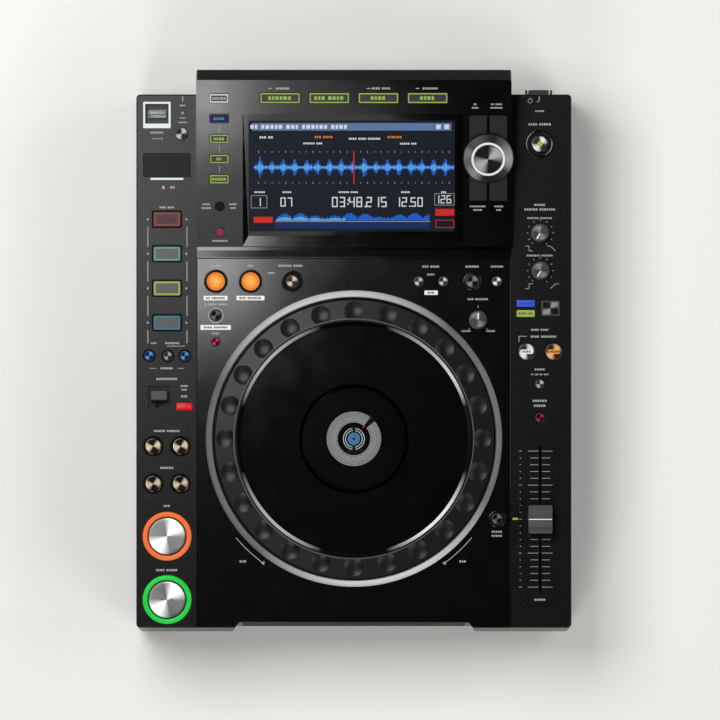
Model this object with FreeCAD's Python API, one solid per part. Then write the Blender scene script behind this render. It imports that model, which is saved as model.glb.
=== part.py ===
import FreeCAD, Part

import math
import os

# Tabletop disc player. Origin: centre of the footprint on the table. +X right, +Y back, +Z up, millimetres.

# Overall sizes
centre_width = 230.8
strip_width = 44.6
rear_y = 190.0
front_y = -207.25
front_lean = 5.05
deck_top = 88.0
foot_height = 8.0
corner_radius = 3.0
edge_radius = 1.2

# Walls and clearances
case_wall = 2.5
panel_thick = 2.5
steel = 1.5
seam = 0.3
key_gap = 0.25
running = 0.05
case_lift = 4.0
parting_z = 24.0
groove_height = 1.2
groove_deep = 0.6
ledge_drop = 5.0
ledge_inset = 4.8

# Steel bottom: a tray and three sheets that close its rear side
lip_height = 14.0
front_lip_height = 2.0
floor_gap = 1.0
sheet_joins = (-84.0, 60.0)

# Front recess with the disc slot
recess_half = 87.5
recess_deep = 3.85
recess_flare = 3.3
slot_panel_half = 82.0
slot_panel_thick = 3.0
slot_width = 126.0
slot_height = 6.0
slot_z = 59.5

# Display housing, a wedge that leans back
housing_front_y = 77.8
housing_front_rise = 6.5
ridge_y = 199.5
ridge_rise = 30.5
housing_rear_y = 207.25
housing_rear_drop = 8.0
housing_rear_lip = 4.0
overhang_rise = 4.0
housing_edge_radius = 1.5
ridge_setback = 1.5
ledge_front_y = 69.8
ledge_rear_y = 75.2
ledge_rise = 2.4
channel_width = 2.6
channel_drop = 0.5
ledge_edge = 0.6
ledge_edge_rise = 0.1

# Screen in the housing
screen_left = -81.5
screen_right = 80.0
screen_rear = 174.8
screen_front = 78.3
screen_slope_right = 3.5
screen_slope_front = 7.1
screen_slope_left = 4.0
screen_slope_corner = 0.4
screen_slope_rear = 0.3
screen_deep = 3.0
screen_lip = 0.6
glass_thick = 1.5
glass_lap = 1.5
lcd_lap = 0.5
lcd_thick = 5.4
screen_frame_left = 3.0
screen_frame_right = 1.5
screen_frame_rear = 4.0
screen_frame_front = 1.0

# Jog wheel and what carries it
jog_y = -63.1
wheel_radius = 103.0
wheel_gap = 1.1
ring_width = 4.8
ring_height = 6.0
well_gap = 3.0
well_wall = 2.0
well_depth = 12.0
well_floor = 2.5
hub_radius = 12.0
hub_bore = 8.0
hub_flange_radius = 26.0
hub_flange_thick = 3.0
wheel_lift = 2.5
wheel_top = 15.0
plate_top = 18.0
dimple_band = 16.7
plate_bevel = 3.3
plate_thick = 2.7
window_radius = 40.0
window_thick = 1.1
jog_display_radius = 24.0
jog_display_thick = 2.4
dimple_count = 24
dimple_inset = 7.0
dimple_ball = 18.0
dimple_deep = 1.5

# Keys, their switches and boards
flange_lap = 1.0
flange_gap = 0.2
flange_thick = 1.0
board_drop = 14.4
slope_board_drop = 9.0
board_thick = 1.6
switch_height = 2.4
switch_side = 6.0
stem_radius = 1.5
stem_rest = 0.3
key_travel = 1.0
big_travel = 2.0

# Slot drive
drive_half = 74.0
drive_rear_y = -42.0
drive_floor_drop = 21.5
drive_wall_rise = 6.5
turntable_y = -130.0
turntable_radius = 15.0
turntable_drop = 6.5
turntable_boss = 3.0
motor_radius = 14.0
spindle_radius = 1.5
roller_y = -181.0
roller_radius = 4.0
roller_inset = 7.0
disc_clear = 0.6

# Rear sockets
socket_board_z = 18.0
jack_radius = 4.15
jack_bore = 1.75
jack_length = 8.0
jack_xs = (-60.0, -42.0, -20.0)
jack_z = 32.0
remote_x = 22.0
remote_radius = 4.0
remote_bore = 1.8
remote_length = 2.5
network_x = -98.0
network_size = (16.0, 13.5)
network_mouth = (11.7, 8.0)
usb_b_x = 0.0
usb_b_size = (12.0, 10.8)
usb_b_mouth = (8.45, 7.8)
inlet_x = 88.0
inlet_size = (27.5, 20.0)
inlet_mouth = (24.0, 16.0)
inlet_deep = 15.0
inlet_flange_half = 19.0
inlet_z = 34.0

# Casing screws and feet
screw_ys = (-188.0, -130.0, 5.0, 88.0, 178.0)
boss_radius = 4.0
screw_radius = 1.5
screw_gap = 0.1
screw_head = 3.0
screw_head_thick = 1.4
foot_radius = 13.0
foot_inset = 28.0
foot_front_y = -176.0
foot_rear_y = 160.0

# Values that follow
body_width = centre_width + 2 * strip_width
half = body_width / 2
centre_half = centre_width / 2
housing_front_z = deck_top + housing_front_rise
ridge_z = deck_top + ridge_rise
overhang_z = deck_top + overhang_rise
case_bottom = foot_height + case_lift
floor_top = foot_height + steel
deck_under = deck_top - panel_thick
ledge_top = deck_under
board_top = deck_top - board_drop
well_floor_top = deck_top - well_depth + well_floor
well_inner = wheel_radius + well_gap
ring_inner = wheel_radius + wheel_gap
ring_outer = ring_inner + ring_width
tilt = math.atan2(ridge_z - housing_front_z, ridge_y - housing_front_y)
plate_radius = wheel_radius - dimple_band
dimple_radius = wheel_radius - dimple_inset
drive_floor_z = slot_z - drive_floor_drop
drive_wall_top = slot_z + drive_wall_rise
turntable_top = slot_z - turntable_drop
roller_half = slot_width / 2 - roller_inset
roller_z = slot_z - slot_height / 2 - disc_clear - roller_radius


def vec(x, y, z):
    return FreeCAD.Vector(x, y, z)


def block(x0, x1, y0, y1, z0, z1):
    return Part.makeBox(x1 - x0, y1 - y0, z1 - z0, vec(x0, y0, z0))


def slab(x, y, width, depth, z0, z1, radius=0.0):
    shape = block(x - width / 2, x + width / 2, y - depth / 2, y + depth / 2, z0, z1)
    if radius > 0:
        limit = min(width, depth) / 2 - 0.01
        upright = [e for e in shape.Edges if abs(e.tangentAt(e.FirstParameter).z) > 0.9]
        shape = shape.makeFillet(min(radius, limit), upright)
    return shape


def rod(x, y, z0, z1, radius):
    return Part.makeCylinder(radius, z1 - z0, vec(x, y, z0))


def tube(x, y, z0, z1, inner, outer):
    return rod(x, y, z0, z1, outer).cut(rod(x, y, z0 - 1, z1 + 1, inner))


def polygon(points):
    corners = [vec(*p) for p in points]
    return Part.Face(Part.makePolygon(corners + corners[:1]))


def plan_prism(points, z0, z1):
    return polygon([(x, y, z0) for x, y in points]).extrude(vec(0, 0, z1 - z0))


def side_prism(points, x0, x1):
    return polygon([(x0, y, z) for y, z in points]).extrude(vec(x1 - x0, 0, 0))


def turned(points, x=0.0, y=0.0):
    face = polygon([(x + r, y, z) for r, z in points])
    return face.revolve(vec(x, y, 0), vec(0, 0, 1), 360)


def round_top(shape, radius):
    top = max(v.Z for v in shape.Vertexes)
    rim = [e for e in shape.Edges if min(v.Z for v in e.Vertexes) > top - 1e-4]
    return shape.makeFillet(radius, rim)


def joined(shapes):
    whole = shapes[0]
    if len(shapes) > 1:
        whole = whole.fuse(shapes[1:])
    return whole.removeSplitter()


def moved(shape, x, y, z):
    copy = shape.copy()
    copy.translate(vec(x, y, z))
    return copy


def on_deck(shape, x, y):
    return moved(shape, x, y, deck_top)


def slope_y(plan_y):
    return (plan_y - housing_front_y) / math.cos(tilt)


def leaned(shape):
    copy = shape.copy()
    copy.rotate(vec(0, 0, 0), vec(1, 0, 0), math.degrees(tilt))
    copy.translate(vec(0, housing_front_y, housing_front_z))
    return copy


def on_slope(shape, x, plan_y):
    return leaned(moved(shape, x, slope_y(plan_y), 0))


def save(name, *shapes):
    solids = [solid for shape in shapes for solid in shape.Solids]
    whole = solids[0] if len(solids) == 1 else Part.makeCompound(solids)
    whole.exportStep("parts/" + name + ".step")


# Key caps, made round the origin with the panel's surface at z = 0


def stem_foot(drop, travel):
    return -drop + switch_height + travel + stem_rest


def with_flange(cap, flange, drop, travel):
    parts = [cap, flange]
    foot = stem_foot(drop, travel)
    if foot < flange.BoundBox.ZMin - 0.05:
        parts.append(rod(0, 0, foot, flange.BoundBox.ZMin, stem_radius))
    return joined(parts)


def flange_span():
    top = -panel_thick - flange_gap
    return top - flange_thick, top


def round_cap(radius, stand, rounding, travel=key_travel, drop=board_drop):
    low, high = flange_span()
    cap = round_top(rod(0, 0, high, stand, radius), rounding)
    return with_flange(cap, rod(0, 0, low, high, radius + flange_lap), drop, travel)


def slab_cap(width, depth, stand, rounding, travel=key_travel, drop=board_drop, corner=1.2):
    low, high = flange_span()
    cap = round_top(slab(0, 0, width, depth, high, stand, corner), rounding)
    lap = 2 * flange_lap
    flange = slab(0, 0, width + lap, depth + lap, low, high, corner)
    return with_flange(cap, flange, drop, travel)


def round_hole(radius):
    return rod(0, 0, -panel_thick - 1, 3, radius + key_gap)


def slab_hole(width, depth, corner=1.2):
    return slab(0, 0, width + 2 * key_gap, depth + 2 * key_gap, -panel_thick - 1, 3, corner)


def switch_block(drop):
    side = switch_side
    return slab(0, 0, side, side, -drop - 0.2, -drop + switch_height)


# Places of the controls. Strip controls are measured outwards from the centre plate's edge.

left_mid = -centre_half - 22.0
right_mid = centre_half + 21.4


def left_x(out):
    return -centre_half - out


def right_x(out):
    return centre_half + out


hot_cue_ys = (98.2, 72.8, 47.4, 22.1)
hot_cue_size = (19.6, 10.4)
hot_cue_recess = (22.6, 13.2)
hot_cue_stand = 0.9
bank_keys = ((35.1, -2.2), (21.4, -2.4), (8.9, -2.3))
bank_radius = 3.7
track_outs = (32.1, 12.0)
track_y = -68.7
search_y = -96.2
track_radius = 6.7
cue_y = -134.9
play_y = -181.5
cue_radius = 14.0
cue_stand = 2.2
light_gap = 0.5
light_band = 3.4
light_inner = cue_radius + light_gap
light_outer = light_inner + light_band
light_stand = 1.4
usb_centre = (29.45, 174.85)
usb_frame = (20.1, 19.3)
usb_opening = (17.3, 14.6)
usb_opening_shift = 0.95
usb_deep = 11.0
usb_shell = (13.1, 5.7)
usb_stop = (11.4, 161.0)
usb_stop_radius = 4.8
card_centre = (22.1, 138.0)
card_recess = (34.8, 17.4)
card_pocket_front = 3.2
card_pocket_deep = 0.8
card_door_size = (33.4, 16.0)
card_door_rear = 1.0
card_door_thick = 1.8
card_deep = 11.0
card_bar = (24.2, 1.5)
card_bar_front = 10.1
hinge_radius = 0.7
lever_centre = (27.7, -33.1)
lever_recess = (16.6, 17.6)
lever_size = (12.6, 7.9)
lever_top = 7.0
lever_pivot_drop = 9.5
lever_pivot_shift = -1.1
lever_lean = 10.8
lever_barrel = 2.5
lever_slot = (6.0, 14.0)
reverse_lamp = (9.25, -39.5)
reverse_lamp_size = (11.9, 5.4)

eject_place = (21.4, 153.5)
eject_radius = 6.4
eject_ring = 10.2
eject_ring_stand = 1.0
speed_knobs = ((21.5, 88.1), (21.9, 60.4))
speed_knob_radius = 5.8
speed_knob_stand = 9.0
lamp_x_out = 10.95
lamp_size = (13.1, 4.9)
lamp_ys = (36.3, 28.9)
mode_key_place = (29.2, 32.7)
mode_key_size = (13.8, 11.6)
sync_place = (11.7, 0.8)
master_place = (31.5, 0.8)
sync_radius = 6.5
tempo_range_place = (21.4, -23.0)
master_tempo_place = (21.4, -47.7)
small_radius = 3.4
slider_x_out = 21.6
slider_centre_y = -122.3
slider_recess = (21.0, 125.9)
slider_recess_deep = 1.0
slider_slot = (1.5, 108.0)
slider_cap = (17.5, 20.7)
slider_lift = 0.8
slider_stand = 12.0
slider_travel = 50.0
slider_stem = (1.2, 7.0)
power_drop = 12.0
power_place = (20.6, deck_top - power_drop)
power_size = (15.0, 9.0)
power_stand = 3.5
power_travel = 2.0
power_deep = 12.0
guard_size = (1.3, 14.0)
guard_stand = 3.2

source_x = -98.6
source_ys = (186.3, 171.5, 156.8, 142.1, 127.4)
source_size = (14.0, 6.6)
time_mode_place = (-98.5, 107.3)
quantize_place = (-98.2, 88.8)
browse_xs = (-54.0, -18.0, 18.0, 54.0)
browse_y = 186.5
browse_size = (29.5, 8.0)
slope_stand = 0.8
selector_place = (98.4, 143.1)
selector_key_xs = (90.9, 105.8)
selector_key_width = 12.9
selector_key_span = (111.7, 173.8)
selector_key_split = 2.4
selector_clear = 16.6
selector_skirt = 18.5
selector_light = 12.4
selector_cap = 10.5
selector_height = 8.8
selector_lift = 2.0
selector_shaft_radius = 3.0
selector_push = 0.8

in_place = (-101.5, 52.5)
out_place = (-76.0, 52.5)
loop_radius = 6.4
loop_collar = 8.8
collar_stand = 1.0
reloop_place = (-45.3, 52.5)
reloop_collar = 8.2
reloop_radius = 4.6
four_beat_place = (-101.5, 27.5)
four_beat_collar = 5.9
four_beat_radius = 4.4
slip_place = (-101.6, 8.1)
call_places = ((47.7, 52.5), (65.7, 52.5))
delete_place = (87.1, 52.5)
delete_collar = 6.7
delete_radius = 4.9
memory_place = (105.1, 52.5)
jog_adjust_place = (91.3, 24.1)
tempo_reset_place = (105.3, -122.1)
tempo_reset_collar = 6.3
tempo_reset_radius = 4.2
knob_shaft_radius = 3.0
pot_height = 6.0
pot_side = 10.0

left_posts = (112.0, 60.0, -55.0, -110.0)
right_posts = (120.0, 46.0, -36.0)
post_radius = 2.5
strip_board_half = 17.0
left_board_rear = 182.0
right_board_rear = 174.0
rear_window = (-128.0, 112.0)


def front_at(z, inset=0.0):
    rise = (z - case_bottom) / (deck_top - case_bottom)
    return front_y + inset + front_lean * rise


def front_block(inset, x0, x1, z0, z1, back_y):
    near = [(front_at(z0, inset), z0), (front_at(z1, inset), z1)]
    return side_prism(near + [(back_y, z1), (back_y, z0)], x0, x1)


def recess_cutter(z0, z1):
    inner = front_at(z0, recess_deep)
    outer = front_at(z0, -1.0)
    wide = recess_half + recess_flare
    points = [(-wide, outer), (-recess_half, inner), (recess_half, inner), (wide, outer)]
    face = polygon([(x, y, z0) for x, y in points])
    return face.extrude(vec(0, front_at(z1) - front_at(z0), z1 - z0))


def strip_holes():
    holes = []
    for y in hot_cue_ys:
        holes.append(on_deck(slab_hole(*hot_cue_size), left_mid, y))
        recess = slab(0, 0, *hot_cue_recess, -0.8, 2.0, 1.6)
        holes.append(on_deck(recess, left_mid, y))
    for out, y in bank_keys:
        holes.append(on_deck(round_hole(bank_radius), left_x(out), y))
    for out in track_outs:
        for y in (track_y, search_y):
            holes.append(on_deck(round_hole(track_radius), left_x(out), y))
    for y in (cue_y, play_y):
        holes.append(on_deck(rod(0, 0, -4.0, 3.0, light_outer + 0.2), left_mid, y))
    frame = slab(0, 0, usb_frame[0] + 0.4, usb_frame[1] + 0.4, -2.0, 2.0, 1.5)
    holes.append(on_deck(frame, left_x(usb_centre[0]), usb_centre[1]))
    holes.append(on_deck(round_hole(usb_stop_radius), left_x(usb_stop[0]), usb_stop[1]))
    holes.append(on_deck(slab_hole(*reverse_lamp_size, 0.8), left_x(reverse_lamp[0]), reverse_lamp[1]))
    holes.append(on_deck(round_hole(eject_radius), right_x(eject_place[0]), eject_place[1]))
    for out, y in speed_knobs:
        holes.append(on_deck(round_hole(knob_shaft_radius), right_x(out), y))
    for y in lamp_ys:
        holes.append(on_deck(slab_hole(*lamp_size, 0.6), right_x(lamp_x_out), y))
    holes.append(on_deck(slab_hole(*mode_key_size), right_x(mode_key_place[0]), mode_key_place[1]))
    for out, y in (sync_place, master_place):
        holes.append(on_deck(round_hole(sync_radius), right_x(out), y))
    for out, y in (tempo_range_place, master_tempo_place):
        holes.append(on_deck(round_hole(small_radius), right_x(out), y))
    groove = slab(0, 0, *slider_recess, -slider_recess_deep, 2.0, 1.0)
    holes.append(on_deck(groove, right_x(slider_x_out), slider_centre_y))
    slot = slab(0, 0, *slider_slot, -panel_thick - 1, 1.0, 0.6)
    holes.append(on_deck(slot, right_x(slider_x_out), slider_centre_y))
    return holes


def tub(x, y, width, depth, deep, wall=1.5):
    outer = slab(x, y, width + 2 * wall, depth + 2 * wall, deck_top - deep - 1.5, deck_under + 0.5, 2.0)
    inner = slab(x, y, width, depth, deck_top - deep, deck_top + 2, 1.0)
    return outer, inner


def boss_places():
    x = centre_half - 2.2
    return [(side * x, y) for side in (-1, 1) for y in screw_ys]


def parting_groove(outer):
    low, high = parting_z, parting_z + groove_height
    band = outer.common(block(-half, half, front_y - 1, rear_y + 1, low, high))
    core = front_block(groove_deep, groove_deep - half, half - groove_deep, low, high, rear_y - groove_deep)
    upright = [e for e in core.Edges if e.BoundBox.ZLength > groove_height / 2]
    core = core.makeFillet(corner_radius - groove_deep, upright)
    return band.cut(core.cut(moved(recess_cutter(low, high), 0, groove_deep, 0)))


def make_upper_case():
    outer = front_block(0.0, -half, half, case_bottom, deck_top, rear_y)
    upright = [e for e in outer.Edges if e.BoundBox.ZLength > 20]
    outer = outer.makeFillet(corner_radius, upright)
    outer = round_top(outer, edge_radius)
    outer = outer.cut(recess_cutter(case_bottom, deck_top))
    inside = front_block(recess_deep + case_wall, case_wall - half, half - case_wall,
                         case_bottom - 5, deck_under, rear_y - case_wall)
    corner_in = recess_half + recess_flare + case_wall
    corners = [front_block(case_wall, *sorted((side * corner_in, side * (half - case_wall))),
                           case_bottom - 5, deck_under, 0) for side in (-1, 1)]
    groove = parting_groove(outer)
    opening = block(-centre_half - seam, centre_half + seam, front_y - 1, rear_y + 1, deck_under, deck_top + 1)
    case = outer.cut([inside, opening, groove] + corners)
    slot_window = block(-slot_panel_half - seam, slot_panel_half + seam, front_y - 1, front_y + 20,
                        case_bottom + 2 - seam, deck_under)
    rear_opening = block(*rear_window, rear_y - case_wall - 1, rear_y + 1, case_bottom + 4, deck_top - 8)
    case = case.cut([slot_window, rear_opening])

    extras = []
    ledge_front = front_at(ledge_top, recess_deep + case_wall - 0.5)
    for side in (-1, 1):
        xs = sorted((side * (centre_half - ledge_inset), side * (centre_half + seam + 2.5)))
        extras.append(block(*xs, ledge_front, rear_y - case_wall, deck_top - ledge_drop, ledge_top))
    for x, y in boss_places():
        extras.append(rod(x, y, floor_top, deck_top - ledge_drop, boss_radius))
    for y in left_posts:
        extras.append(rod(left_mid, y, board_top, deck_under, post_radius))
    for y in right_posts:
        extras.append(rod(right_mid, y, board_top, deck_under, post_radius))
    eject_x = right_x(eject_place[0])
    extras.append(tube(eject_x, eject_place[1], deck_under, deck_top + eject_ring_stand,
                       eject_ring - 1.6, eject_ring))
    power_x = right_x(power_place[0])
    guard_out = (power_size[0] + guard_size[0]) / 2 + 1.0
    for side in (-1, 1):
        x = power_x + side * guard_out
        extras.append(block(x - guard_size[0] / 2, x + guard_size[0] / 2, rear_y - 1, rear_y + guard_stand,
                            deck_top - guard_size[1] - 2, deck_top - 2))
    case = case.fuse(extras)

    tubs = []
    cuts = strip_holes()
    usb_mouth = (usb_centre[0], usb_centre[1] + usb_opening_shift)
    spaces = ((usb_mouth, usb_opening, usb_deep, 2.6), (card_centre, card_recess, card_deep, 1.5),
              (lever_centre, lever_recess, 4.0, 1.5))
    for (out, y), size, deep, wall in spaces:
        outer_tub, inner_tub = tub(left_x(out), y, *size, deep, wall)
        tubs.append(outer_tub)
        cuts.append(inner_tub)
    case = case.fuse(tubs)
    cuts.append(slab(left_x(lever_centre[0]), lever_centre[1] + lever_pivot_shift, *lever_slot,
                     deck_top - 8, deck_top, 0.5))
    card_y = card_centre[1] + card_recess[1] / 2 - card_door_rear - hinge_radius - 0.2
    pin = Part.makeCylinder(hinge_radius + running, card_door_size[0] + 3,
                            vec(left_x(card_centre[0]) - card_door_size[0] / 2 - 1.5, card_y,
                                deck_top - 0.2 - card_door_thick / 2), vec(1, 0, 0))
    cuts.append(pin)
    bar_y = card_centre[1] - card_bar_front
    cuts.append(slab(left_x(card_centre[0]), bar_y, card_bar[0] + 0.4, card_bar[1] + 0.4,
                     deck_top - 3, deck_top + 1))
    pocket_y = card_centre[1] - (card_recess[1] + card_pocket_front) / 2 + 0.1
    cuts.append(slab(left_x(card_centre[0]), pocket_y, card_recess[0], card_pocket_front + 0.2,
                     deck_top - card_pocket_deep, deck_top + 1, 0.8))
    for x, y in boss_places():
        cuts.append(rod(x, y, floor_top - 1, floor_top + 12, screw_radius + screw_gap))
    power_z = power_place[1]
    cuts.append(block(power_x - power_size[0] / 2 - key_gap, power_x + power_size[0] / 2 + key_gap,
                      rear_y - 4, rear_y + 5, power_z - power_size[1] / 2 - key_gap,
                      power_z + power_size[1] / 2 + key_gap))
    save("upper_case", case.cut(cuts).removeSplitter())


def deck_outline(inset):
    near = front_at(deck_top) + inset
    middle = near + recess_deep
    flare = recess_half - 3.5
    side = centre_half - inset
    return [(-side, ledge_front_y - seam), (-side, near), (-recess_half, near), (-flare, middle),
            (flare, middle), (recess_half, near), (side, near), (side, ledge_front_y - seam)]


def make_deck_plate():
    plate = round_top(plan_prism(deck_outline(0.0), deck_under, deck_top), 0.5)
    well = rod(0, jog_y, well_floor_top - 2.5, deck_top, well_inner + well_wall)
    collars = []
    for (x, y), radius in ((in_place, loop_collar), (out_place, loop_collar), (reloop_place, reloop_collar),
                           (four_beat_place, four_beat_collar), (delete_place, delete_collar),
                           (tempo_reset_place, tempo_reset_collar)):
        collars.append(on_deck(round_top(rod(0, 0, -1, collar_stand, radius), 0.6), x, y))
    posts = [rod(x, y, board_top, deck_under, post_radius) for x, y in
             ((-60.0, 60.5), (0.0, 57.0), (76.0, 60.5), (-102.0, 18.0), (102.0, 14.0),
              (103.5, tempo_reset_place[1] - 12.0))]
    whole = plate.fuse([well] + collars + posts)
    cuts = [rod(0, jog_y, well_floor_top, deck_top + 5, well_inner),
            rod(0, jog_y, well_floor_top - 5, well_floor_top + 1, hub_bore)]
    for (x, y), radius in ((in_place, loop_radius), (out_place, loop_radius), (reloop_place, reloop_radius),
                           (four_beat_place, four_beat_radius), (slip_place, small_radius),
                           (delete_place, delete_radius), (memory_place, bank_radius),
                           (jog_adjust_place, knob_shaft_radius), (tempo_reset_place, tempo_reset_radius),
                           (call_places[0], bank_radius), (call_places[1], bank_radius)):
        cuts.append(on_deck(round_hole(radius), x, y))
    save("deck_plate", whole.cut(cuts).removeSplitter())


def housing_outside():
    rear_top = ridge_z - housing_rear_drop
    return [(housing_front_y, ledge_top), (housing_front_y, housing_front_z), (ridge_y, ridge_z),
            (housing_rear_y, rear_top), (housing_rear_y, rear_top - housing_rear_lip),
            (rear_y + seam, overhang_z), (rear_y + seam, ledge_top)]


def housing_inside():
    wall = panel_thick
    rear_top = ridge_z - housing_rear_drop

    def under_slope(y):
        return housing_front_z + (y - housing_front_y) * math.tan(tilt) - wall / math.cos(tilt)

    front, ridge, rear = housing_front_y + wall, ridge_y - ridge_setback, housing_rear_y - wall
    back = rear_y + seam - wall
    return [(front, ledge_top - 5), (front, under_slope(front)), (ridge, under_slope(ridge)),
            (rear, rear_top - 0.4 * wall), (rear, rear_top - housing_rear_lip + 0.5 * wall),
            (back, overhang_z + 0.6 * wall), (back, ledge_top - 5)]


def screen_loft():
    s_front, s_rear = slope_y(screen_front), slope_y(screen_rear)
    top = [(screen_left, s_front), (screen_right, s_front), (screen_right, s_rear), (screen_left, s_rear)]
    low_right = screen_right - screen_slope_right
    low_front = s_front + screen_slope_front
    low_rear = s_rear - screen_slope_rear
    floor = [(screen_left + screen_slope_left, low_front), (low_right, low_front), (low_right, low_rear),
             (screen_left + screen_slope_corner, low_rear)]
    wires = []
    for points, z in ((top, 0.0), (floor, -screen_deep)):
        corners = [vec(x, y, z) for x, y in points]
        wires.append(Part.makePolygon(corners + corners[:1]))
    loft = Part.makeLoft(wires, True, True)
    shaft = plan_prism(floor, -screen_deep - screen_lip, -screen_deep)
    lid = plan_prism(top, 0.0, 2.0)
    return loft, shaft, lid, floor


def glass_outline(lap):
    floor = screen_loft()[3]
    xs = [p[0] for p in floor]
    ys = [p[1] for p in floor]
    return [(min(xs) - lap, min(ys) - lap), (max(xs) + lap, min(ys) - lap),
            (max(xs) + lap, max(ys) + lap), (min(xs) - lap, max(ys) + lap)]


def selector_keys(gap):
    middle = slope_y(selector_place[1])
    shapes = []
    for x in selector_key_xs:
        for y0, y1 in ((slope_y(selector_key_span[0]), middle - selector_key_split),
                       (middle + selector_key_split, slope_y(selector_key_span[1]))):
            width = selector_key_width + 2 * gap
            shapes.append((x, (y0 + y1) / 2, width, y1 - y0 + 2 * gap))
    return shapes


def make_display_housing():
    outer = side_prism(housing_outside(), -centre_half, centre_half)
    rear_edges = [e for e in outer.Edges if e.BoundBox.YMin > rear_y + 5 and e.BoundBox.XLength < 0.1]
    outer = outer.makeFillet(housing_edge_radius, rear_edges)
    inner = side_prism(housing_inside(), panel_thick - centre_half, centre_half - panel_thick)
    shell = outer.cut(inner)
    s_front, s_rear = slope_y(screen_front), slope_y(screen_rear)
    frame_deep = screen_deep + screen_lip + glass_thick
    frame = leaned(block(screen_left - screen_frame_left, screen_right + screen_frame_right,
                         s_front + screen_frame_front, s_rear + screen_frame_rear, -frame_deep, -0.6 * panel_thick))
    channel_y, channel_z = ledge_rear_y + channel_width, deck_top - channel_drop
    ledge = side_prism([(ledge_front_y, ledge_top), (ledge_front_y, deck_top),
                        (ledge_front_y + ledge_edge, deck_top + ledge_edge_rise),
                        (ledge_rear_y, deck_top + ledge_rise), (ledge_rear_y + 0.2, channel_z),
                        (channel_y, channel_z), (channel_y, ledge_top)], -centre_half, centre_half)
    posts = []
    for x, y in ((-108.0, 115.0), (-108.0, 180.0), (108.0, 180.0), (108.0, 105.0), (-36.0, 193.0), (36.0, 193.0)):
        posts.append(on_slope(rod(0, 0, -slope_board_drop, -1.0, post_radius), x, y))
    whole = shell.fuse([frame, ledge] + posts)

    loft, shaft, lid, floor = screen_loft()
    seat = plan_prism(glass_outline(glass_lap + key_gap), -20, -screen_deep - screen_lip)
    cuts = [leaned(s) for s in (loft, shaft, lid, seat)]
    for y in source_ys:
        cuts.append(on_slope(slab_hole(*source_size), source_x, y))
    for x in browse_xs:
        cuts.append(on_slope(slab_hole(*browse_size), x, browse_y))
    for x, y in (time_mode_place, quantize_place):
        cuts.append(on_slope(round_hole(small_radius), x, y))
    pin_y = slope_y(selector_place[1])
    for x, y, width, depth in selector_keys(key_gap):
        pocket = slab(x, y, width, depth, -panel_thick - 1, 3, 0.6)
        cuts.append(leaned(pocket.cut(rod(selector_place[0], pin_y, -9, 9, selector_clear - key_gap))))
    cuts.append(on_slope(round_hole(selector_shaft_radius), *selector_place))
    save("display_housing", whole.cut(cuts).removeSplitter())


def make_display_screen():
    top = -screen_deep - screen_lip
    glass = leaned(plan_prism(glass_outline(glass_lap), top - glass_thick, top))
    lcd = leaned(plan_prism(glass_outline(lcd_lap), top - glass_thick - lcd_thick, top - glass_thick))
    save("display_screen", glass, lcd)


def make_front_panel():
    low, high = case_bottom + 2, deck_under - seam
    near = front_block(recess_deep, -slot_panel_half, slot_panel_half, low, high, 0)
    far = front_block(recess_deep + slot_panel_thick, -slot_panel_half - 1, slot_panel_half + 1,
                      low - 1, high + 1, 1)
    panel = near.cut(far)
    y = front_at(slot_z, recess_deep)
    mouth = block(-slot_width / 2, slot_width / 2, y - 5, y + 8, slot_z - slot_height / 2, slot_z + slot_height / 2)
    flare = side_prism([(y - 0.5, slot_z - slot_height / 2 - 1.6), (y + 1.2, slot_z - slot_height / 2),
                        (y + 1.2, slot_z + slot_height / 2), (y - 0.5, slot_z + slot_height / 2 + 1.6)],
                       -slot_width / 2 - 1, slot_width / 2 + 1)
    pin_hole = Part.makeCylinder(0.8, 20, vec(slot_width / 2 + 8, y - 6, slot_z), vec(0, 1, 0))
    save("front_panel", panel.cut([mouth, flare, pin_hole]))


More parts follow.
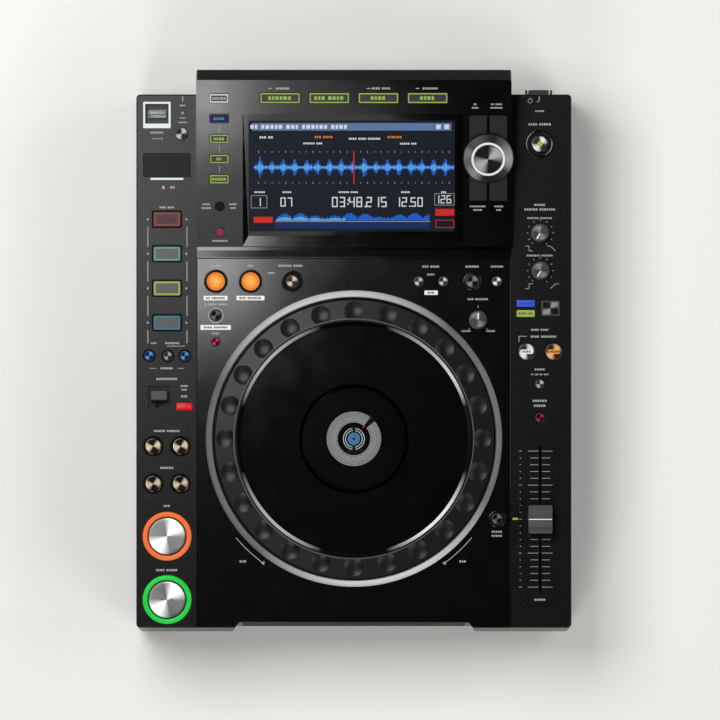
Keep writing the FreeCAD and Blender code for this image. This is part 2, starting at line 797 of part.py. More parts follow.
def make_bottom_chassis():
    side = half - case_wall - seam
    near = front_at(case_bottom, recess_deep + case_wall) + floor_gap
    far = rear_y - case_wall - seam
    floor = block(-side, side, near, far, foot_height, floor_top)
    parts = [floor]
    corner_in = recess_half + recess_flare + case_wall + floor_gap
    corner_near = front_at(case_bottom, case_wall) + floor_gap
    for x0, x1 in ((-side, -corner_in), (corner_in, side)):
        parts.append(block(x0, x1, corner_near, near, foot_height, floor_top))
    parts.append(block(-side, side, near, near + steel, foot_height, case_bottom + front_lip_height))
    for x0 in (-side, side - steel):
        parts.append(block(x0, x0 + steel, near, far, foot_height, case_bottom + lip_height))
    parts.append(block(-side, side, far - steel, far, foot_height, socket_board_z))
    sheets = []
    edges = (-side + steel,) + sheet_joins + (side - steel,)
    for x0, x1 in zip(edges, edges[1:]):
        low_part = block(x0, x1, far - steel, far, socket_board_z, board_top - 6)
        window = block(max(x0, rear_window[0] - 3), min(x1, rear_window[1] + 3), far - steel, far,
                       socket_board_z, deck_top - ledge_drop - seam)
        sheets.append(joined([low_part, window]))
    for x, y in board_post_places():
        parts.append(rod(x, y, floor_top, socket_board_z, 3.0))
    tray = joined(parts)
    cuts = []
    for x, y in boss_places():
        cuts.append(rod(x, y, foot_height - 1, floor_top + 0.01, screw_radius + screw_gap * 2))
    for row in range(2):
        for step in range(10):
            cuts.append(slab(-36 + step * 8, -20 + row * 90, 3.0, 36.0, foot_height - 1, floor_top + 1, 1.4))
    for step in range(14):
        cuts.append(block(-80 + step * 8, -77 + step * 8, far - 5, far + 5, 50, 64))
    for x, (width, height), z in socket_holes():
        cuts.append(block(x - width / 2, x + width / 2, far - 5, far + 5, z - height / 2, z + height / 2))
    for x, radius in [(x, jack_radius + 1.2) for x in jack_xs] + [(remote_x, remote_radius)]:
        cuts.append(Part.makeCylinder(radius + 0.2, 12, vec(x, far - 6, jack_z), vec(0, 1, 0)))
    cuts.append(block(44, 51, far - 5, far + 5, 30, 33))
    for x, z in rear_screw_places():
        cuts.append(Part.makeCylinder(screw_radius + 0.2, 12, vec(x, far - 6, z), vec(0, 1, 0)))
    save("bottom_chassis", tray.cut(cuts), *[sheet.cut(cuts) for sheet in sheets])


def rear_screw_places():
    return [(-120.0, 22.0), (-120.0, 60.0), (56.0, 22.0), (104.0, 60.0)]


def board_post_places():
    return [(-100.0, -14.0), (36.0, -14.0), (-100.0, 150.0), (36.0, 150.0),
            (54.0, 26.0), (102.0, 26.0), (54.0, 150.0), (102.0, 150.0)]


def socket_holes():
    socket_foot = socket_board_z + board_thick
    network_z = socket_foot + network_size[1] / 2
    usb_z = socket_foot + usb_b_size[1] / 2
    grow = 0.4
    return [(network_x, (network_size[0] + grow, network_size[1] + grow), network_z),
            (usb_b_x, (usb_b_size[0] + grow, usb_b_size[1] + grow), usb_z),
            (inlet_x, (inlet_size[0] + grow, inlet_size[1] + grow), inlet_z)]


def open_box(x, z, size, mouth, y0, y1, deep):
    body = block(x - size[0] / 2, x + size[0] / 2, y0, y1, z - size[1] / 2, z + size[1] / 2)
    hollow = block(x - mouth[0] / 2, x + mouth[0] / 2, y1 - deep, y1 + 1, z - mouth[1] / 2, z + mouth[1] / 2)
    return body.cut(hollow)


def make_rear_sockets():
    wall_out = rear_y - case_wall - seam
    foot = socket_board_z + board_thick
    shapes = []
    for x in jack_xs:
        base = block(x - 6.5, x + 6.5, wall_out - 16, wall_out - steel - 0.1, foot, jack_z + 7)
        collar = Part.makeCylinder(jack_radius + 1.0, 3.0, vec(x, wall_out - 2.6, jack_z), vec(0, 1, 0))
        barrel = Part.makeCylinder(jack_radius, jack_length + 2.0, vec(x, wall_out - 1.6, jack_z), vec(0, 1, 0))
        bore = Part.makeCylinder(jack_bore, jack_length + 4.0, vec(x, wall_out - 2.0, jack_z), vec(0, 1, 0))
        shapes.append(joined([base, collar, barrel]).cut(bore))
    network_z = foot + network_size[1] / 2
    shapes.append(open_box(network_x, network_z, network_size, network_mouth, wall_out - 20, wall_out + 0.6, 13))
    usb_z = foot + usb_b_size[1] / 2
    shell = open_box(usb_b_x, usb_z, usb_b_size, usb_b_mouth, wall_out - 16, wall_out + 0.6, 12)
    tongue = block(usb_b_x - 2.8, usb_b_x + 2.8, wall_out - 13, wall_out - 2, usb_z - 1.6, usb_z + 1.6)
    shapes.append(shell.fuse(tongue))
    case = open_box(inlet_x, inlet_z, inlet_size, inlet_mouth, wall_out - 26, wall_out + 1.5, inlet_deep)
    pins = []
    for x, z in ((-7.0, -1.5), (7.0, -1.5), (0.0, 2.5)):
        pins.append(block(inlet_x + x - 1, inlet_x + x + 1, wall_out - inlet_deep - 1, wall_out - 4,
                          inlet_z + z - 2, inlet_z + z + 2))
    plate = block(inlet_x - inlet_flange_half, inlet_x + inlet_flange_half, wall_out, wall_out + 1.5,
                  inlet_z - inlet_size[1] / 2 - 1.5, inlet_z + inlet_size[1] / 2 + 1.5)
    plate = plate.cut(block(inlet_x - inlet_size[0] / 2 + 0.5, inlet_x + inlet_size[0] / 2 - 0.5, wall_out - 1,
                            wall_out + 2, inlet_z - inlet_size[1] / 2 + 0.5, inlet_z + inlet_size[1] / 2 - 0.5))
    foot_block = block(inlet_x - 8, inlet_x + 8, wall_out - 24, wall_out - 6, foot, inlet_z - inlet_size[1] / 2)
    shapes.append(joined([case, plate, foot_block] + pins))
    remote = joined([block(remote_x - 5, remote_x + 5, wall_out - 14, wall_out - steel - 0.1, foot, jack_z + 5),
                     Part.makeCylinder(remote_radius, remote_length, vec(remote_x, wall_out - 2.0, jack_z),
                                       vec(0, 1, 0))])
    shapes.append(remote.cut(Part.makeCylinder(remote_bore, 20, vec(remote_x, wall_out - 12, jack_z),
                                               vec(0, 1, 0))))
    save("rear_sockets", *shapes)


def make_feet_and_screws():
    feet = []
    for side in (-1, 1):
        for y in (foot_front_y, foot_rear_y):
            x = side * (half - foot_inset)
            foot = Part.makeCone(foot_radius - 1.5, foot_radius, foot_height, vec(x, y, 0))
            feet.append(foot)
    save("rubber_feet", *feet)
    screws = []
    for x, y in boss_places():
        head = rod(x, y, foot_height - screw_head_thick, foot_height, screw_head)
        drive = slab(x, y, 2.2, 2.2, foot_height - screw_head_thick - 0.1, foot_height - 0.6)
        shank = rod(x, y, foot_height - 0.3, floor_top + 10, screw_radius)
        screws.append(joined([head.cut(drive), shank]))
    face = rear_y - case_wall - seam
    for x, z in rear_screw_places():
        head = Part.makeCylinder(screw_head, screw_head_thick, vec(x, face, z), vec(0, 1, 0))
        shank = Part.makeCylinder(screw_radius, 6, vec(x, face - 5.5, z), vec(0, 1, 0))
        drive = block(x - 1.1, x + 1.1, face + 0.6, face + 3, z - 1.1, z + 1.1)
        screws.append(joined([head.cut(drive), shank]))
    save("case_screws", *screws)


# Inside the casing


def drive_posts():
    return [(x, y) for x in (-66.0, 66.0) for y in (-172.0, -60.0)]


def make_disc_drive():
    near = front_at(slot_z, recess_deep + slot_panel_thick) + 1.4
    floor = block(-drive_half, drive_half, near, drive_rear_y, drive_floor_z, drive_floor_z + steel)
    parts = [floor]
    for x0 in (-drive_half, drive_half - steel):
        parts.append(block(x0, x0 + steel, near, drive_rear_y, drive_floor_z, drive_wall_top))
    parts.append(block(-drive_half, drive_half, drive_rear_y - steel, drive_rear_y, drive_floor_z, drive_wall_top))
    bridge_z = drive_wall_top
    parts.append(block(-drive_half, drive_half, turntable_y - 14, turntable_y + 14, bridge_z - 0.01,
                       bridge_z + steel))
    for side in (-1, 1):
        x = side * (roller_half + 3.2)
        parts.append(block(x - 1.2, x + 1.2, roller_y - 4, roller_y + 4, drive_floor_z, slot_z - slot_height / 2))
    for x, y in drive_posts():
        parts.append(rod(x, y, floor_top, drive_floor_z, boss_radius))
    frame = joined(parts)
    cuts = [Part.makeCylinder(spindle_radius + running, 2 * roller_half + 12,
                              vec(-roller_half - 6, roller_y, roller_z), vec(1, 0, 0)),
            slab(0, turntable_y + 28, 22.0, 56.0, drive_floor_z - 1, drive_floor_z + 3, 3.0)]
    frame = frame.cut(cuts)
    motor = tube(0, turntable_y, drive_floor_z + steel, turntable_top - 4, spindle_radius + running, motor_radius)
    rails = []
    for side in (-1, 1):
        rails.append(Part.makeCylinder(1.5, 60, vec(side * 20, turntable_y + 17, drive_floor_z + steel + 3),
                                       vec(0, 1, 0)))
    stops = [block(-24, 24, y, y + 2, drive_floor_z + steel, drive_floor_z + steel + 6)
             for y in (turntable_y + 15, turntable_y + 77)]
    sled = block(-24, 24, turntable_y + 34, turntable_y + 56, drive_floor_z + steel + 0.6,
                 drive_floor_z + steel + 7)
    sled = sled.cut([Part.makeCylinder(1.5 + running, 90, vec(side * 20, turntable_y, drive_floor_z + steel + 3),
                                       vec(0, 1, 0)) for side in (-1, 1)])
    sled = sled.fuse(rod(0, turntable_y + 45, drive_floor_z + steel + 5, drive_floor_z + steel + 9, 3.5))
    save("disc_drive_frame", frame, motor, sled, *rails, *stops)

    platter = turned([(0, turntable_top - 3), (turntable_radius, turntable_top - 3),
                      (turntable_radius, turntable_top), (7.4, turntable_top), (7.2, turntable_top + 1.6),
                      (4.5, turntable_top + turntable_boss), (0, turntable_top + turntable_boss)], 0, turntable_y)
    shaft = rod(0, turntable_y, drive_floor_z + steel + 1, turntable_top - 2, spindle_radius)
    save("disc_turntable", joined([platter, shaft]))

    profile = [(0, -roller_half - 5), (spindle_radius, -roller_half - 5), (spindle_radius, -roller_half),
               (roller_radius, -roller_half), (roller_radius - 1.0, 0), (roller_radius, roller_half),
               (spindle_radius, roller_half), (spindle_radius, roller_half + 5), (0, roller_half + 5)]
    roller = turned(profile)
    roller.rotate(vec(0, 0, 0), vec(0, 1, 0), 90)
    save("feed_roller", moved(roller, 0, roller_y, roller_z))


def make_jog():
    top = deck_top
    seat = well_inner - 0.3
    ring = turned([(ring_inner, top - 1.5), (seat, top - 1.5), (seat, top), (ring_outer, top),
                   (ring_outer, top + 0.6), (ring_outer - 1.5, top + 3.2), (ring_inner + 0.7, top + ring_height),
                   (ring_inner, top + ring_height - 0.5)], 0, jog_y)
    save("jog_trim_ring", ring)

    bore = hub_radius + running
    rim_low = top + wheel_lift
    rim_top = top + wheel_top
    web = top + 6.0
    shelf = rim_top - 2.5
    shelf_in = plate_radius - 8.3
    groove = plate_radius + 1.1
    hub_low = well_floor_top + hub_flange_thick + 1.0
    wheel = turned([(wheel_radius, rim_low), (wheel_radius, rim_top - 3.4), (wheel_radius - 1.4, rim_top - 1.8),
                    (groove + 1.0, rim_top), (groove, rim_top), (groove, shelf), (shelf_in, shelf),
                    (shelf_in, web + 3), (24, web + 3), (24, web + 5), (bore, web + 5), (bore, hub_low),
                    (22, hub_low), (22, web), (wheel_radius - 4.5, web), (wheel_radius - 4.5, rim_low)], 0, jog_y)
    dimples = []
    for step in range(dimple_count):
        angle = 2 * math.pi * step / dimple_count
        x = dimple_radius * math.cos(angle)
        y = jog_y + dimple_radius * math.sin(angle)
        z = rim_top - 0.9 - dimple_deep + dimple_ball
        dimples.append(Part.makeSphere(dimple_ball, vec(x, y, z)))
    save("jog_wheel", wheel.cut(dimples))

    face = top + plate_top
    under = face - plate_thick
    lip = face - window_thick - 0.1
    plate = turned([(plate_radius, shelf), (plate_radius, shelf + 2.7), (plate_radius - plate_bevel, face),
                    (window_radius + key_gap, face), (window_radius + key_gap, lip), (window_radius - 2, lip),
                    (window_radius - 2, under), (shelf_in + 0.5, under), (shelf_in + 0.5, shelf)], 0, jog_y)
    save("jog_plate", plate)
    save("jog_window", rod(0, jog_y, lip, face - 0.1, window_radius))

    hub_top = web + 7.2
    flange = well_floor_top
    hub = turned([(hub_bore, flange), (hub_flange_radius, flange), (hub_flange_radius, flange + hub_flange_thick),
                  (hub_radius, flange + hub_flange_thick), (hub_radius, hub_top), (hub_bore, hub_top)], 0, jog_y)
    save("jog_hub", hub)
    save("jog_display", rod(0, jog_y, hub_top, hub_top + jog_display_thick, jog_display_radius))


def light_ring(y):
    profile = [(light_inner, -3.5), (light_outer, -3.5), (light_outer, light_stand - 0.7),
               (light_outer - 0.8, light_stand), (light_inner + 0.5, light_stand), (light_inner, light_stand - 0.5)]
    return on_deck(turned(profile), left_mid, y)


def make_light_pipes():
    lights = [light_ring(cue_y), light_ring(play_y)]
    usb_x = left_x(usb_centre[0])
    frame = slab(usb_x, usb_centre[1], *usb_frame, deck_top - 1.9, deck_top + 0.4, 1.4)
    lights.append(frame.cut(slab(usb_x, usb_centre[1] + usb_opening_shift, *usb_opening, deck_top - 3,
                                 deck_top + 2, 1.0)))
    bar_y = card_centre[1] - card_bar_front
    lights.append(slab(left_x(card_centre[0]), bar_y, *card_bar, deck_under, deck_top + 0.2))
    lights.append(on_deck(slab(0, 0, *reverse_lamp_size, -3.4, 0.2, 0.8), left_x(reverse_lamp[0]), reverse_lamp[1]))
    for y in lamp_ys:
        lights.append(on_deck(slab(0, 0, *lamp_size, -3.4, 0.2, 0.6), right_x(lamp_x_out), y))
    save("light_pipes", *lights)


def make_ports():
    x, y = left_x(usb_centre[0]), usb_centre[1] + usb_opening_shift
    foot = deck_top - usb_deep
    top = deck_top - 4.2
    shell = slab(x, y, *usb_shell, foot, top, 0.5)
    hollow = slab(x, y, usb_shell[0] - 0.8, usb_shell[1] - 0.8, foot + 0.6, top + 1)
    tongue = slab(x, y + 0.9, 11.0, 1.8, foot + 0.3, top - 0.4)
    save("usb_port", shell.cut(hollow).fuse(tongue))

    door_y = card_centre[1] + card_recess[1] / 2 - card_door_rear - card_door_size[1] / 2
    door_top = deck_top - 0.2
    door = slab(left_x(card_centre[0]), door_y, *card_door_size, door_top - card_door_thick, door_top, 0.8)
    pin_y = door_y + card_door_size[1] / 2 - hinge_radius - 0.2
    pin = Part.makeCylinder(hinge_radius, card_door_size[0] + 2.4,
                            vec(left_x(card_centre[0]) - card_door_size[0] / 2 - 1.2, pin_y,
                                door_top - card_door_thick / 2), vec(1, 0, 0))
    save("card_door", joined([door, pin]))


def make_strip_keys():
    for name, y in zip(("a", "b", "c", "d"), hot_cue_ys):
        cap = slab_cap(*hot_cue_size, hot_cue_stand, 0.5, corner=1.4)
        save("hot_cue_key_" + name, on_deck(cap, left_mid, y))
    save("bank_keys", *[on_deck(round_cap(bank_radius, 1.6, 0.5), left_x(out), y) for out, y in bank_keys])
    for name, y in (("track_keys", track_y), ("search_keys", search_y)):
        caps = [on_deck(round_cap(track_radius, 2.4, 1.6), left_x(out), y) for out in track_outs]
        save(name, *caps)
    for name, y in (("cue_button", cue_y), ("play_button", play_y)):
        low = -panel_thick - 2.4
        cap = round_top(rod(0, 0, low, cue_stand, cue_radius), 0.7)
        lip = rod(0, 0, low - flange_thick, low, cue_radius + flange_lap)
        save(name, on_deck(with_flange(cap, lip, board_drop, big_travel), left_mid, y))
    save("usb_stop_button", on_deck(round_cap(usb_stop_radius, 1.2, 0.5), left_x(usb_stop[0]), usb_stop[1]))
    save("eject_button", on_deck(round_cap(eject_radius, 2.0, 0.6), right_x(eject_place[0]), eject_place[1]))
    mode = slab_cap(*mode_key_size, 1.0, 0.4)
    save("jog_mode_key", on_deck(mode, right_x(mode_key_place[0]), mode_key_place[1]))
    for name, (out, y) in (("sync_button", sync_place), ("master_button", master_place)):
        save(name, on_deck(round_cap(sync_radius, 1.8, 0.8), right_x(out), y))
    for name, (out, y) in (("tempo_range_button", tempo_range_place), ("master_tempo_button", master_tempo_place)):
        save(name, on_deck(round_cap(small_radius, 1.6, 0.5), right_x(out), y))


def make_lever():
    x = left_x(lever_centre[0])
    pivot_y = lever_centre[1] + lever_pivot_shift
    cap = slab(0, 0, *lever_size, lever_pivot_drop - 2.2, lever_pivot_drop + lever_top, 1.2)
    cap = round_top(cap, 0.8)
    stem = block(-2.5, 2.5, -1.6, 1.6, 0, lever_pivot_drop)
    barrel = Part.makeCylinder(lever_barrel, 12, vec(-6, 0, 0), vec(1, 0, 0))
    lever = joined([cap, stem, barrel])
    lever.rotate(vec(0, 0, 0), vec(1, 0, 0), -lever_lean)
    save("direction_lever", moved(lever, x, pivot_y, deck_top - lever_pivot_drop))


def knob(radius, stand):
    pointer = block(-0.5, 0.5, radius * 0.25, radius + 1, stand - 0.5, stand + 1)
    cap = round_top(rod(0, 0, 0.6, stand, radius), 0.7).cut(pointer)
    skirt = rod(0, 0, 0.6, 1.8, radius + 0.9)
    shaft = rod(0, 0, -board_drop + 1.5, 1.0, knob_shaft_radius)
    return joined([cap, skirt, shaft])


def make_knobs():
    for name, (out, y) in zip(("touch_speed_knob", "release_speed_knob"), speed_knobs):
        turned_knob = knob(speed_knob_radius, speed_knob_stand)
        turned_knob.rotate(vec(0, 0, 0), vec(0, 0, 1), 150)
        save(name, on_deck(turned_knob, right_x(out), y))
    save("jog_adjust_knob", on_deck(knob(speed_knob_radius, speed_knob_stand), *jog_adjust_place))


def make_slider():
    x = right_x(slider_x_out)
    low = -slider_recess_deep + slider_lift
    cap = slab(0, 0, *slider_cap, low, slider_stand, 1.2)
    hollow = Part.makeCylinder(16.0, slider_cap[0] + 4, vec(-slider_cap[0] / 2 - 2, 0, slider_stand + 14.2),
                               vec(1, 0, 0))
    cap = cap.cut(hollow)
    stem = block(-slider_stem[0] / 2, slider_stem[0] / 2, -slider_stem[1] / 2, slider_stem[1] / 2,
                 -board_drop + 4.4, low + 1)
    carriage = block(-3.5, 3.5, -6, 6, -board_drop + 1.4, -board_drop + 4.6)
    save("tempo_slider", on_deck(joined([cap, stem, carriage]), x, slider_centre_y))


def make_power_switch():
    x, z = right_x(power_place[0]), power_place[1]
    width, height = power_size
    cap = block(x - width / 2, x + width / 2, rear_y - power_deep, rear_y + power_stand,
                z - height / 2, z + height / 2)
    rear = [e for e in cap.Edges if e.BoundBox.YMin > rear_y]
    cap = cap.makeFillet(0.8, rear)
    lip = block(x - width / 2 - 1, x + width / 2 + 1, rear_y - case_wall - 1.5, rear_y - case_wall - 0.3,
                z - height / 2 - 1, z + height / 2 + 1)
    save("power_switch", joined([cap, lip]))


def make_slope_keys():
    drop = slope_board_drop
    source = slab_cap(*source_size, slope_stand, 0.3, drop=drop, corner=0.8)
    save("source_keys", *[on_slope(source, source_x, y) for y in source_ys])
    browse = slab_cap(*browse_size, slope_stand, 0.3, drop=drop, corner=0.8)
    save("browse_keys", *[on_slope(browse, x, browse_y) for x in browse_xs])
    for name, place in (("time_mode_button", time_mode_place), ("quantize_button", quantize_place)):
        save(name, on_slope(round_cap(small_radius, 1.4, 0.5, drop=drop), *place))
    pads = []
    low, high = flange_span()
    pin_y = slope_y(selector_place[1])
    clear = rod(selector_place[0], pin_y, -9, 9, selector_clear)
    for x, y, width, depth in selector_keys(0.0):
        cap = round_top(slab(x, y, width, depth, low, slope_stand, 0.6), 0.3).cut(clear)
        side = 1 if y > pin_y else -1
        tab_y = y + side * (depth / 2 - 6)
        tab = slab(x, tab_y, width + 0.8, 6.0, low, high)
        foot = stem_foot(drop, key_travel)
        pads.append(leaned(joined([cap, tab, rod(x, tab_y, foot, low + 0.01, stem_radius)])))
    save("selector_keys", *pads)

    x, y = selector_place
    foot = -drop + switch_height + selector_push + stem_rest
    shaft = joined([rod(0, 0, foot, selector_lift + 4.2, selector_shaft_radius),
                    rod(0, 0, low, high, selector_shaft_radius + 1.5)])
    save("selector_shaft", on_slope(shaft, x, y))
    bore = selector_shaft_radius + running
    top = selector_height
    profile = [(0, top), (selector_cap - 0.3, top), (selector_cap, top - 0.4), (selector_cap, top - 1.4),
               (selector_light, top - 1.8), (selector_light + 0.2, top - 2.6), (selector_skirt - 0.6, top - 4.6),
               (selector_skirt, top - 5.2), (selector_skirt, selector_lift), (bore, selector_lift),
               (bore, selector_lift + 4.6), (0, selector_lift + 4.6)]
    save("selector_knob", on_slope(turned(profile), x, y))


def make_deck_keys():
    for name, place in (("loop_in_button", in_place), ("loop_out_button", out_place)):
        save(name, on_deck(round_cap(loop_radius, 3.4, 2.6), *place))
    for name, place, radius, stand in (
            ("reloop_button", reloop_place, reloop_radius, 2.2),
            ("four_beat_button", four_beat_place, four_beat_radius, 2.0),
            ("slip_button", slip_place, small_radius, 1.6),
            ("delete_button", delete_place, delete_radius, 2.0),
            ("memory_button", memory_place, bank_radius, 1.6),
            ("tempo_reset_button", tempo_reset_place, tempo_reset_radius, 2.0)):
        save(name, on_deck(round_cap(radius, stand, 0.6), *place))
    save("call_keys", *[on_deck(round_cap(bank_radius, 1.6, 0.5), *place) for place in call_places])


def pot_body(x, y):
    top = -board_drop + pot_height
    body = slab(0, 0, pot_side, pot_side, -board_drop - 0.2, top)
    bore = rod(0, 0, -board_drop + 1.0, top + 1, knob_shaft_radius + running)
    return on_deck(body.cut(bore), x, y)


def strip_board(mid, rear, key_places, pots):
    low = board_top - board_thick
    near = front_at(board_top, recess_deep + case_wall) + 1.0
    parts = [block(mid - strip_board_half, mid + strip_board_half, near, rear, low, board_top)]
    for x, y in key_places:
        parts.append(on_deck(switch_block(board_drop), x, y))
    for x, y in pots:
        parts.append(pot_body(x, y))
    return joined(parts)


def make_circuit_boards():
    left_keys = [(left_mid, y) for y in hot_cue_ys + (cue_y, play_y)]
    left_keys += [(left_x(out), y) for out, y in bank_keys]
    left_keys += [(left_x(out), y) for out in track_outs for y in (track_y, search_y)]
    left_keys.append((left_x(usb_stop[0]), usb_stop[1]))
    left = strip_board(left_mid, left_board_rear, left_keys, [])
    cradle_x = left_x(lever_centre[0])
    cradle_y = lever_centre[1] + lever_pivot_shift
    cradle_top = deck_top - lever_pivot_drop - lever_barrel - 0.2
    left = left.fuse(slab(cradle_x, cradle_y, 10, 7, board_top - 0.2, cradle_top))
    stand_y = card_centre[1] - 1
    socket_z = deck_top - card_deep
    card_socket = slab(left_x(card_centre[0]), stand_y, 27.0, 4.6, socket_z, socket_z + 3.2)
    card_socket = card_socket.cut(slab(left_x(card_centre[0]), stand_y, 24.4, 2.4, socket_z + 0.4, socket_z + 5))

    right_places = [(right_x(out), y) for out, y in
                    (eject_place, mode_key_place, sync_place, master_place, tempo_range_place,
                     master_tempo_place)]
    pots = [(right_x(out), y) for out, y in speed_knobs]
    right = strip_board(right_mid, right_board_rear, right_places, pots)
    fader_x = right_x(slider_x_out)
    walls = []
    reach = slider_travel + 8
    for side in (-1, 1):
        x = fader_x + side * 4.6
        walls.append(block(x - 0.7, x + 0.7, slider_centre_y - reach, slider_centre_y + reach,
                           board_top - 0.2, board_top + 5.5))
    right = right.fuse(walls)

    low = board_top - board_thick
    deck_parts = [block(-112, 112, 47.5, 66, low, board_top), block(-108.5, -88, 2, 48, low, board_top),
                  block(82, 108.5, 8, 48, low, board_top)]
    for x, y in (in_place, out_place, reloop_place, four_beat_place, slip_place, delete_place, memory_place,
                 *call_places):
        deck_parts.append(on_deck(switch_block(board_drop), x, y))
    deck_parts.append(pot_body(*jog_adjust_place))
    deck_board = joined(deck_parts)
    reset_x, reset_y = tempo_reset_place
    reset_board = joined([on_deck(switch_block(board_drop), reset_x, reset_y),
                          block(98.5, 108.5, reset_y - 15, reset_y + 9, low, board_top)])

    drop = slope_board_drop
    under = -drop - board_thick
    legs = [block(-111.5, -85.5, slope_y(84), slope_y(197), under, -drop),
            block(-86, 86, slope_y(179), slope_y(197), under, -drop),
            block(84.5, 111.5, slope_y(100), slope_y(197), under, -drop)]
    tops = [(source_x, y) for y in source_ys] + [(x, browse_y) for x in browse_xs]
    tops += [time_mode_place, quantize_place, selector_place]
    for x, y in tops:
        legs.append(moved(switch_block(drop), x, slope_y(y), 0))
    pin_y = slope_y(selector_place[1])
    for x, y, width, depth in selector_keys(0.0):
        side = 1 if y > pin_y else -1
        legs.append(moved(switch_block(drop), x, y + side * (depth / 2 - 6), 0))
    slope_board = leaned(joined(legs))

    main_z = socket_board_z
    main = [block(-108, 44, -20, rear_y - 8, main_z, main_z + board_thick)]
    for x, y, w, d, h in ((-50, 60, 32, 32, 3), (10, 80, 24, 24, 3), (-60, 10, 20, 12, 2), (20, 10, 14, 20, 2),
                          (-80, 110, 16, 16, 6)):
        main.append(slab(x, y, w, d, main_z + 1, main_z + board_thick + h))
    supply = [block(50, 107, 20, rear_y - 8, main_z, main_z + board_thick),
              slab(79, 52, 40, 34, main_z + 1, main_z + 30), slab(79, 88, 46, 7, main_z + 1, main_z + 26)]
    for x in (60, 79, 98):
        supply.append(rod(x, 122, main_z + 1, main_z + 26, 8))
    save("circuit_boards", left, card_socket, right, deck_board, reset_board, slope_board,
         joined(main), joined(supply))


os.makedirs("parts", exist_ok=True)
make_upper_case()
make_deck_plate()
make_display_housing()
make_display_screen()
make_front_panel()
make_bottom_chassis()
make_rear_sockets()
make_feet_and_screws()
make_disc_drive()
make_jog()
make_light_pipes()
make_ports()
make_strip_keys()
make_lever()
make_knobs()
make_slider()
make_power_switch()
make_slope_keys()
make_deck_keys()
make_circuit_boards()
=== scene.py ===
import math

import bmesh
import bpy
from mathutils import Matrix, Vector


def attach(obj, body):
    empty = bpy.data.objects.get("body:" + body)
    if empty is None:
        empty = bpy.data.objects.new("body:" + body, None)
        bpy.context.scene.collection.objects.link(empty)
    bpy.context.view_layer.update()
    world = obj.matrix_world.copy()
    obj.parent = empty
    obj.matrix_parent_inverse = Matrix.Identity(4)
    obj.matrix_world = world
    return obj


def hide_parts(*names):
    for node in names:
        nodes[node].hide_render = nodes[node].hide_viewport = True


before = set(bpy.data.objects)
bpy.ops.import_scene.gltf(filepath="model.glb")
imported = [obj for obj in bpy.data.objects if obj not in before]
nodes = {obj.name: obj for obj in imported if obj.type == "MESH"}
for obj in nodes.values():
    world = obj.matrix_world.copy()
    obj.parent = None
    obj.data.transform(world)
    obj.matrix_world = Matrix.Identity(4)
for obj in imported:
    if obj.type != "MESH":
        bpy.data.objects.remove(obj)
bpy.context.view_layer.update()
mm = 0.001  # every size below is in millimetres, in the CAD frame

# Places that the controls share

deckTop = 88.0
rearWall = 187.2
slope = {"frontY": 77.8, "frontZ": 94.5, "ridgeY": 199.5, "ridgeZ": 118.5}
slope["tilt"] = math.atan2(slope["ridgeZ"] - slope["frontZ"], slope["ridgeY"] - slope["frontY"])
leftMid, rightMid = -137.4, 136.8  # middle lines of the two control strips
jogY = -63.1
ink = 0.05  # thickness of a print

onDeck = Matrix.Translation((0, 0, deckTop))
onSlope = Matrix.Translation((0, slope["frontY"], slope["frontZ"])) @ Matrix.Rotation(slope["tilt"], 4, "X")
onRear = Matrix.Translation((0, rearWall, 0)) @ Matrix.Rotation(math.radians(90), 4, "X")


def slopeY(planY):
    return (planY - slope["frontY"]) / math.cos(slope["tilt"])


# Materials


def newMaterial(name):
    material = bpy.data.materials.new(name)
    material.use_nodes = True
    tree = material.node_tree
    shader = tree.nodes["Principled BSDF"]
    return material, tree, shader


def setInputs(node, **values):
    for key, value in values.items():
        node.inputs[key.replace("_", " ")].default_value = value


def noiseTexture(tree, scale, detail=2.0):
    coords = tree.nodes.new("ShaderNodeTexCoord")
    noise = tree.nodes.new("ShaderNodeTexNoise")
    setInputs(noise, Scale=scale, Detail=detail)
    tree.links.new(coords.outputs["Object"], noise.inputs["Vector"])
    return noise.outputs["Fac"]


def spread(tree, value, low, high, fromLow=0.3, fromHigh=0.7):
    node = tree.nodes.new("ShaderNodeMapRange")
    setInputs(node, From_Min=fromLow, From_Max=fromHigh, To_Min=low, To_Max=high)
    tree.links.new(value, node.inputs["Value"])
    return node.outputs["Result"]


def addBump(tree, shader, height, strength, distance):
    bump = tree.nodes.new("ShaderNodeBump")
    setInputs(bump, Strength=strength, Distance=distance)
    tree.links.new(height, bump.inputs["Height"])
    tree.links.new(bump.outputs["Normal"], shader.inputs["Normal"])


def mixColours(tree, factor, first, second):
    mix = tree.nodes.new("ShaderNodeMix")
    mix.data_type = "RGBA"
    setInputs(mix, A=(*first, 1), B=(*second, 1))
    tree.links.new(factor, mix.inputs["Factor"])
    return mix.outputs["Result"]


def tintBase(tree, shader, factor, first, second):
    tree.links.new(mixColours(tree, factor, first, second), shader.inputs["Base Color"])


def roughen(tree, shader, noise, low, high):
    tree.links.new(spread(tree, noise, low, high), shader.inputs["Roughness"])


def grainedPlastic(name, colour, rough, grain=1400, depth=0.35, shine=0.5):
    material, tree, shader = newMaterial(name)
    fine = noiseTexture(tree, grain, 3.0)
    broad = noiseTexture(tree, 28)
    lighter = tuple(min(1.0, channel * 1.18) for channel in colour)
    tintBase(tree, shader, broad, colour, lighter)
    roughen(tree, shader, fine, rough - 0.05, rough + 0.06)
    addBump(tree, shader, fine, depth, 0.000015)
    setInputs(shader, Specular_IOR_Level=shine)
    return material


